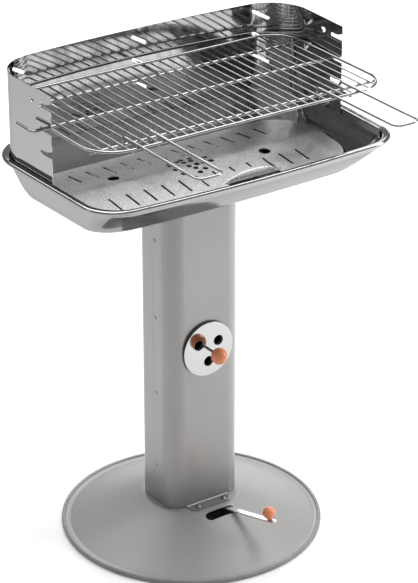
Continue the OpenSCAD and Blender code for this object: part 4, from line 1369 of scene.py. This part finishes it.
def makeLever():
    d = damper
    half, r, over = d["leverWidth"] / 2, d["cornerRadius"], shared["overrun"]
    length = d["bendAt"] + (d["reach"] - d["bendAt"]) / math.cos(math.radians(d["slope"]))
    outline = (arc((0, 0), half, 0, 180, 16) + arc((r - half, r - length), r, 180, 270, 8)
               + arc((half - r, r - length), r, 270, 360, 8))
    strip = soften(extrude("damper_lever", outline, 0, d["leverSheet"]), d["edgeBevel"], 2, 60)
    holes = [hole(d["pivotRadius"], -over, over)]
    holes += [hole(d["rivetHole"], -over, over, 0, -y) for y in d["rivets"]]
    holes.append(hole(d["ballHole"], -over, over, 0, -d["bendAt"] - d["ballOut"]))
    combine(strip, [join("holes", holes)])
    bend(strip, [-d["bendAt"] + d["bendHalf"] * (i / 4 - 1) for i in range(9)], leverPoint)
    swing = turned(shared["leverTurn"], "Z")
    fit(moved(strip, swing), "damper", "lever", ["damper_lever"], 30)

    r, (neck, length), bevel = d["ballRadius"], d["neck"], d["neckBevel"]
    center = length + r * d["ballSeat"]
    start = math.asin(neck / r)
    down = r * math.cos(start)
    wide, high = d["collar"]
    profile = [(0, 0), (neck - bevel, 0), (neck, bevel), (neck, center - down - bevel),
               (neck * wide, center - down * high)]
    profile += arc((0, center), r, math.degrees(start) - 90, 90, 36)[2:-1] + [(0, center + r)]
    place = (swing @ at(0, -d["bendAt"], d["leverZ"]) @ turned(-d["slope"], "X")
             @ at(0, -d["ballOut"], d["leverSheet"]))
    ball = moved(lathe("damper_ball", profile, 64), place)
    fit(ball, "damper", "wood", ["damper_knob"])
    r, below, top = d["screw"]
    low = -d["leverSheet"] - below
    profile = [(0, low), (r - 0.0005, low), (r, low + bevel), (r, top), (0, top)]
    fit(moved(lathe("damper_ball_screw", profile, 32), place), "damper", "zinc", angle=32)


makeLever()
print("damper made")


# Screws and nuts

fastener = {
    "head": 0.005,
    "headHeight": 0.003,
    "headEdge": 0.0003,
    "shank": 0.0025,
    "recess": 0.0011,                # depth, with the half width of the cross below
    "cross": (0.0024, 0.0005),
    "threadStart": 0.0016,
    "threadPitch": 0.0008,
    "threadShare": 0.86,
    "threadEnd": 0.0012,             # how far above the tip the last turn may start
    "nutHalf": 0.004,
    "nutHeight": 0.004,
    "nutBore": 0.00255,
    "chamferShare": 0.12,
    "pivotShare": 1.3,
    "pivotBore": 0.00305,
    "lengths": {"foot_screws": 0.0101, "floor_bolts": 0.0097, "windshield_screws": 0.0088},
    "turns": (20, 65, 110, 5),       # how each cross recess stands, in degrees
    "shieldTurn": 35,                # from one of the windshield's screws to the next
}


def screwShape(name):
    # low round head with a cross recess, threads hinted on the shank
    f = fastener
    head, high, shank, length = f["head"], f["headHeight"], f["shank"], f["lengths"][name]
    sphere, edge = head * 2, math.asin(0.5)
    profile = [(0, high)]
    for i in range(1, 13):
        a = edge * i / 12
        profile.append((sphere * math.sin(a), sphere * math.cos(a) - sphere + high))
    profile += [(head, f["headEdge"]), (head - f["headEdge"], 0), (shank, 0)]
    z, pitch = -f["threadStart"], f["threadPitch"]
    while z > f["threadEnd"] - length:
        profile += [(shank, z), (shank * f["threadShare"], z - pitch / 2), (shank, z - pitch)]
        z -= pitch
    profile += [(shank * 0.8, -length), (0, -length)]
    cuts = [moved(extrude("recess", rectangle(*f["cross"]), high - f["recess"], 0.01),
                  turned(turn, "Z")) for turn in (0, 90)]
    return combine(lathe("screw", profile, 40), cuts)


def nutShape(share=1.0, bore=fastener["nutBore"]):
    # hexagon nut with both faces chamfered
    half, height = fastener["nutHalf"] * share, fastener["nutHeight"]
    corner, chamfer = half / math.cos(math.pi / 6), height * fastener["chamferShare"]
    lower = [(half * 0.8, -0.001), (half * 0.99, 0), (corner, chamfer)]
    wide = [(bore + 0.0004, -0.01), (bore + 0.0004, 0.0), (bore, 0.0004)]
    nut = extrude("nut", circle(corner, 6), 0, height)
    for start, sides, operation in ((lower, 48, "INTERSECT"), (wide, 32, "DIFFERENCE")):
        upper = [(r, height - z) for r, z in start[::-1]]
        profile = [(0, start[0][1])] + start + upper + [(0, upper[-1][1])]
        combine(nut, [lathe("turned", profile, sides)], operation)
    return nut


def fitFasteners(node, name, shape, matrices, body="stand"):
    copies = []
    for matrix in matrices:
        mesh = shape.data.copy()
        mesh.transform(matrix)
        copies.append(addObject("copy", mesh))
    drop(shape)
    fit(join(name, copies), body, "zinc", [node], 35)


def makeFasteners():
    f = fastener
    down, sheet = f["nutHeight"], column["sheet"]
    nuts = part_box("head_nuts")[1]
    bolts = (nuts.x - f["nutHalf"] / math.cos(math.pi / 6), nuts.y - f["nutHalf"])
    for screwNode, nutNode, screwName, nutName, corner, top, low in (
            ("foot_screws", "foot_nuts", "foot_screws", "foot_nuts", base["footScrews"],
             shared["baseTop"] + sheet, shared["baseTop"] - base["sheet"] - down),
            ("head_bolts", "head_nuts", "floor_bolts", "floor_nuts", bolts,
             shared["floorZ"] + bowl["sheet"], shared["floorZ"] - sheet - down)):
        places = fourPlaces(*corner)
        fitFasteners(screwNode, screwName, screwShape(screwName),
                     [at(x, y, top) @ turned(turn, "Z")
                      for (x, y), turn in zip(places, f["turns"])])
        fitFasteners(nutNode, nutName, nutShape(), [at(x, y, low) for x, y in places])
    places = shieldScrewPlaces()
    fitFasteners("windshield_screws", "windshield_screws", screwShape("windshield_screws"),
                 [place @ at(0, 0, bowl["sheet"]) @ turned(f["shieldTurn"] * k, "Z")
                  for k, place in enumerate(places)])
    fitFasteners("windshield_nuts", "windshield_nuts", nutShape(),
                 [place @ at(0, 0, -shield["sheet"] - bowl["sheet"] - down) for place in places])
    fitFasteners("vent_nut", "vent_nut", nutShape(),
                 [towardsCook(0) @ at(0, 0, -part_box("vent_nut")[1].y)], "vent")
    fitFasteners("damper_pivot_nut", "pivot_nut", nutShape(f["pivotShare"], f["pivotBore"]),
                 [at(0, 0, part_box("damper_pivot_nut")[0].z)])


makeFasteners()
print("fasteners made")


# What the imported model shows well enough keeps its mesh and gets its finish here

kept = {"column_head_frame": "column", "seam_screws": "column", "damper_pivot": "zinc",
        "damper_plate": "zinc", "damper_rivets": "zinc", "vent_washer": "zinc"}
for node, look in kept.items():
    mesh, material = nodes[node].data, finish[look][0]
    if not mesh.materials:
        mesh.materials.append(material)
    for k in range(len(mesh.materials)):
        mesh.materials[k] = material
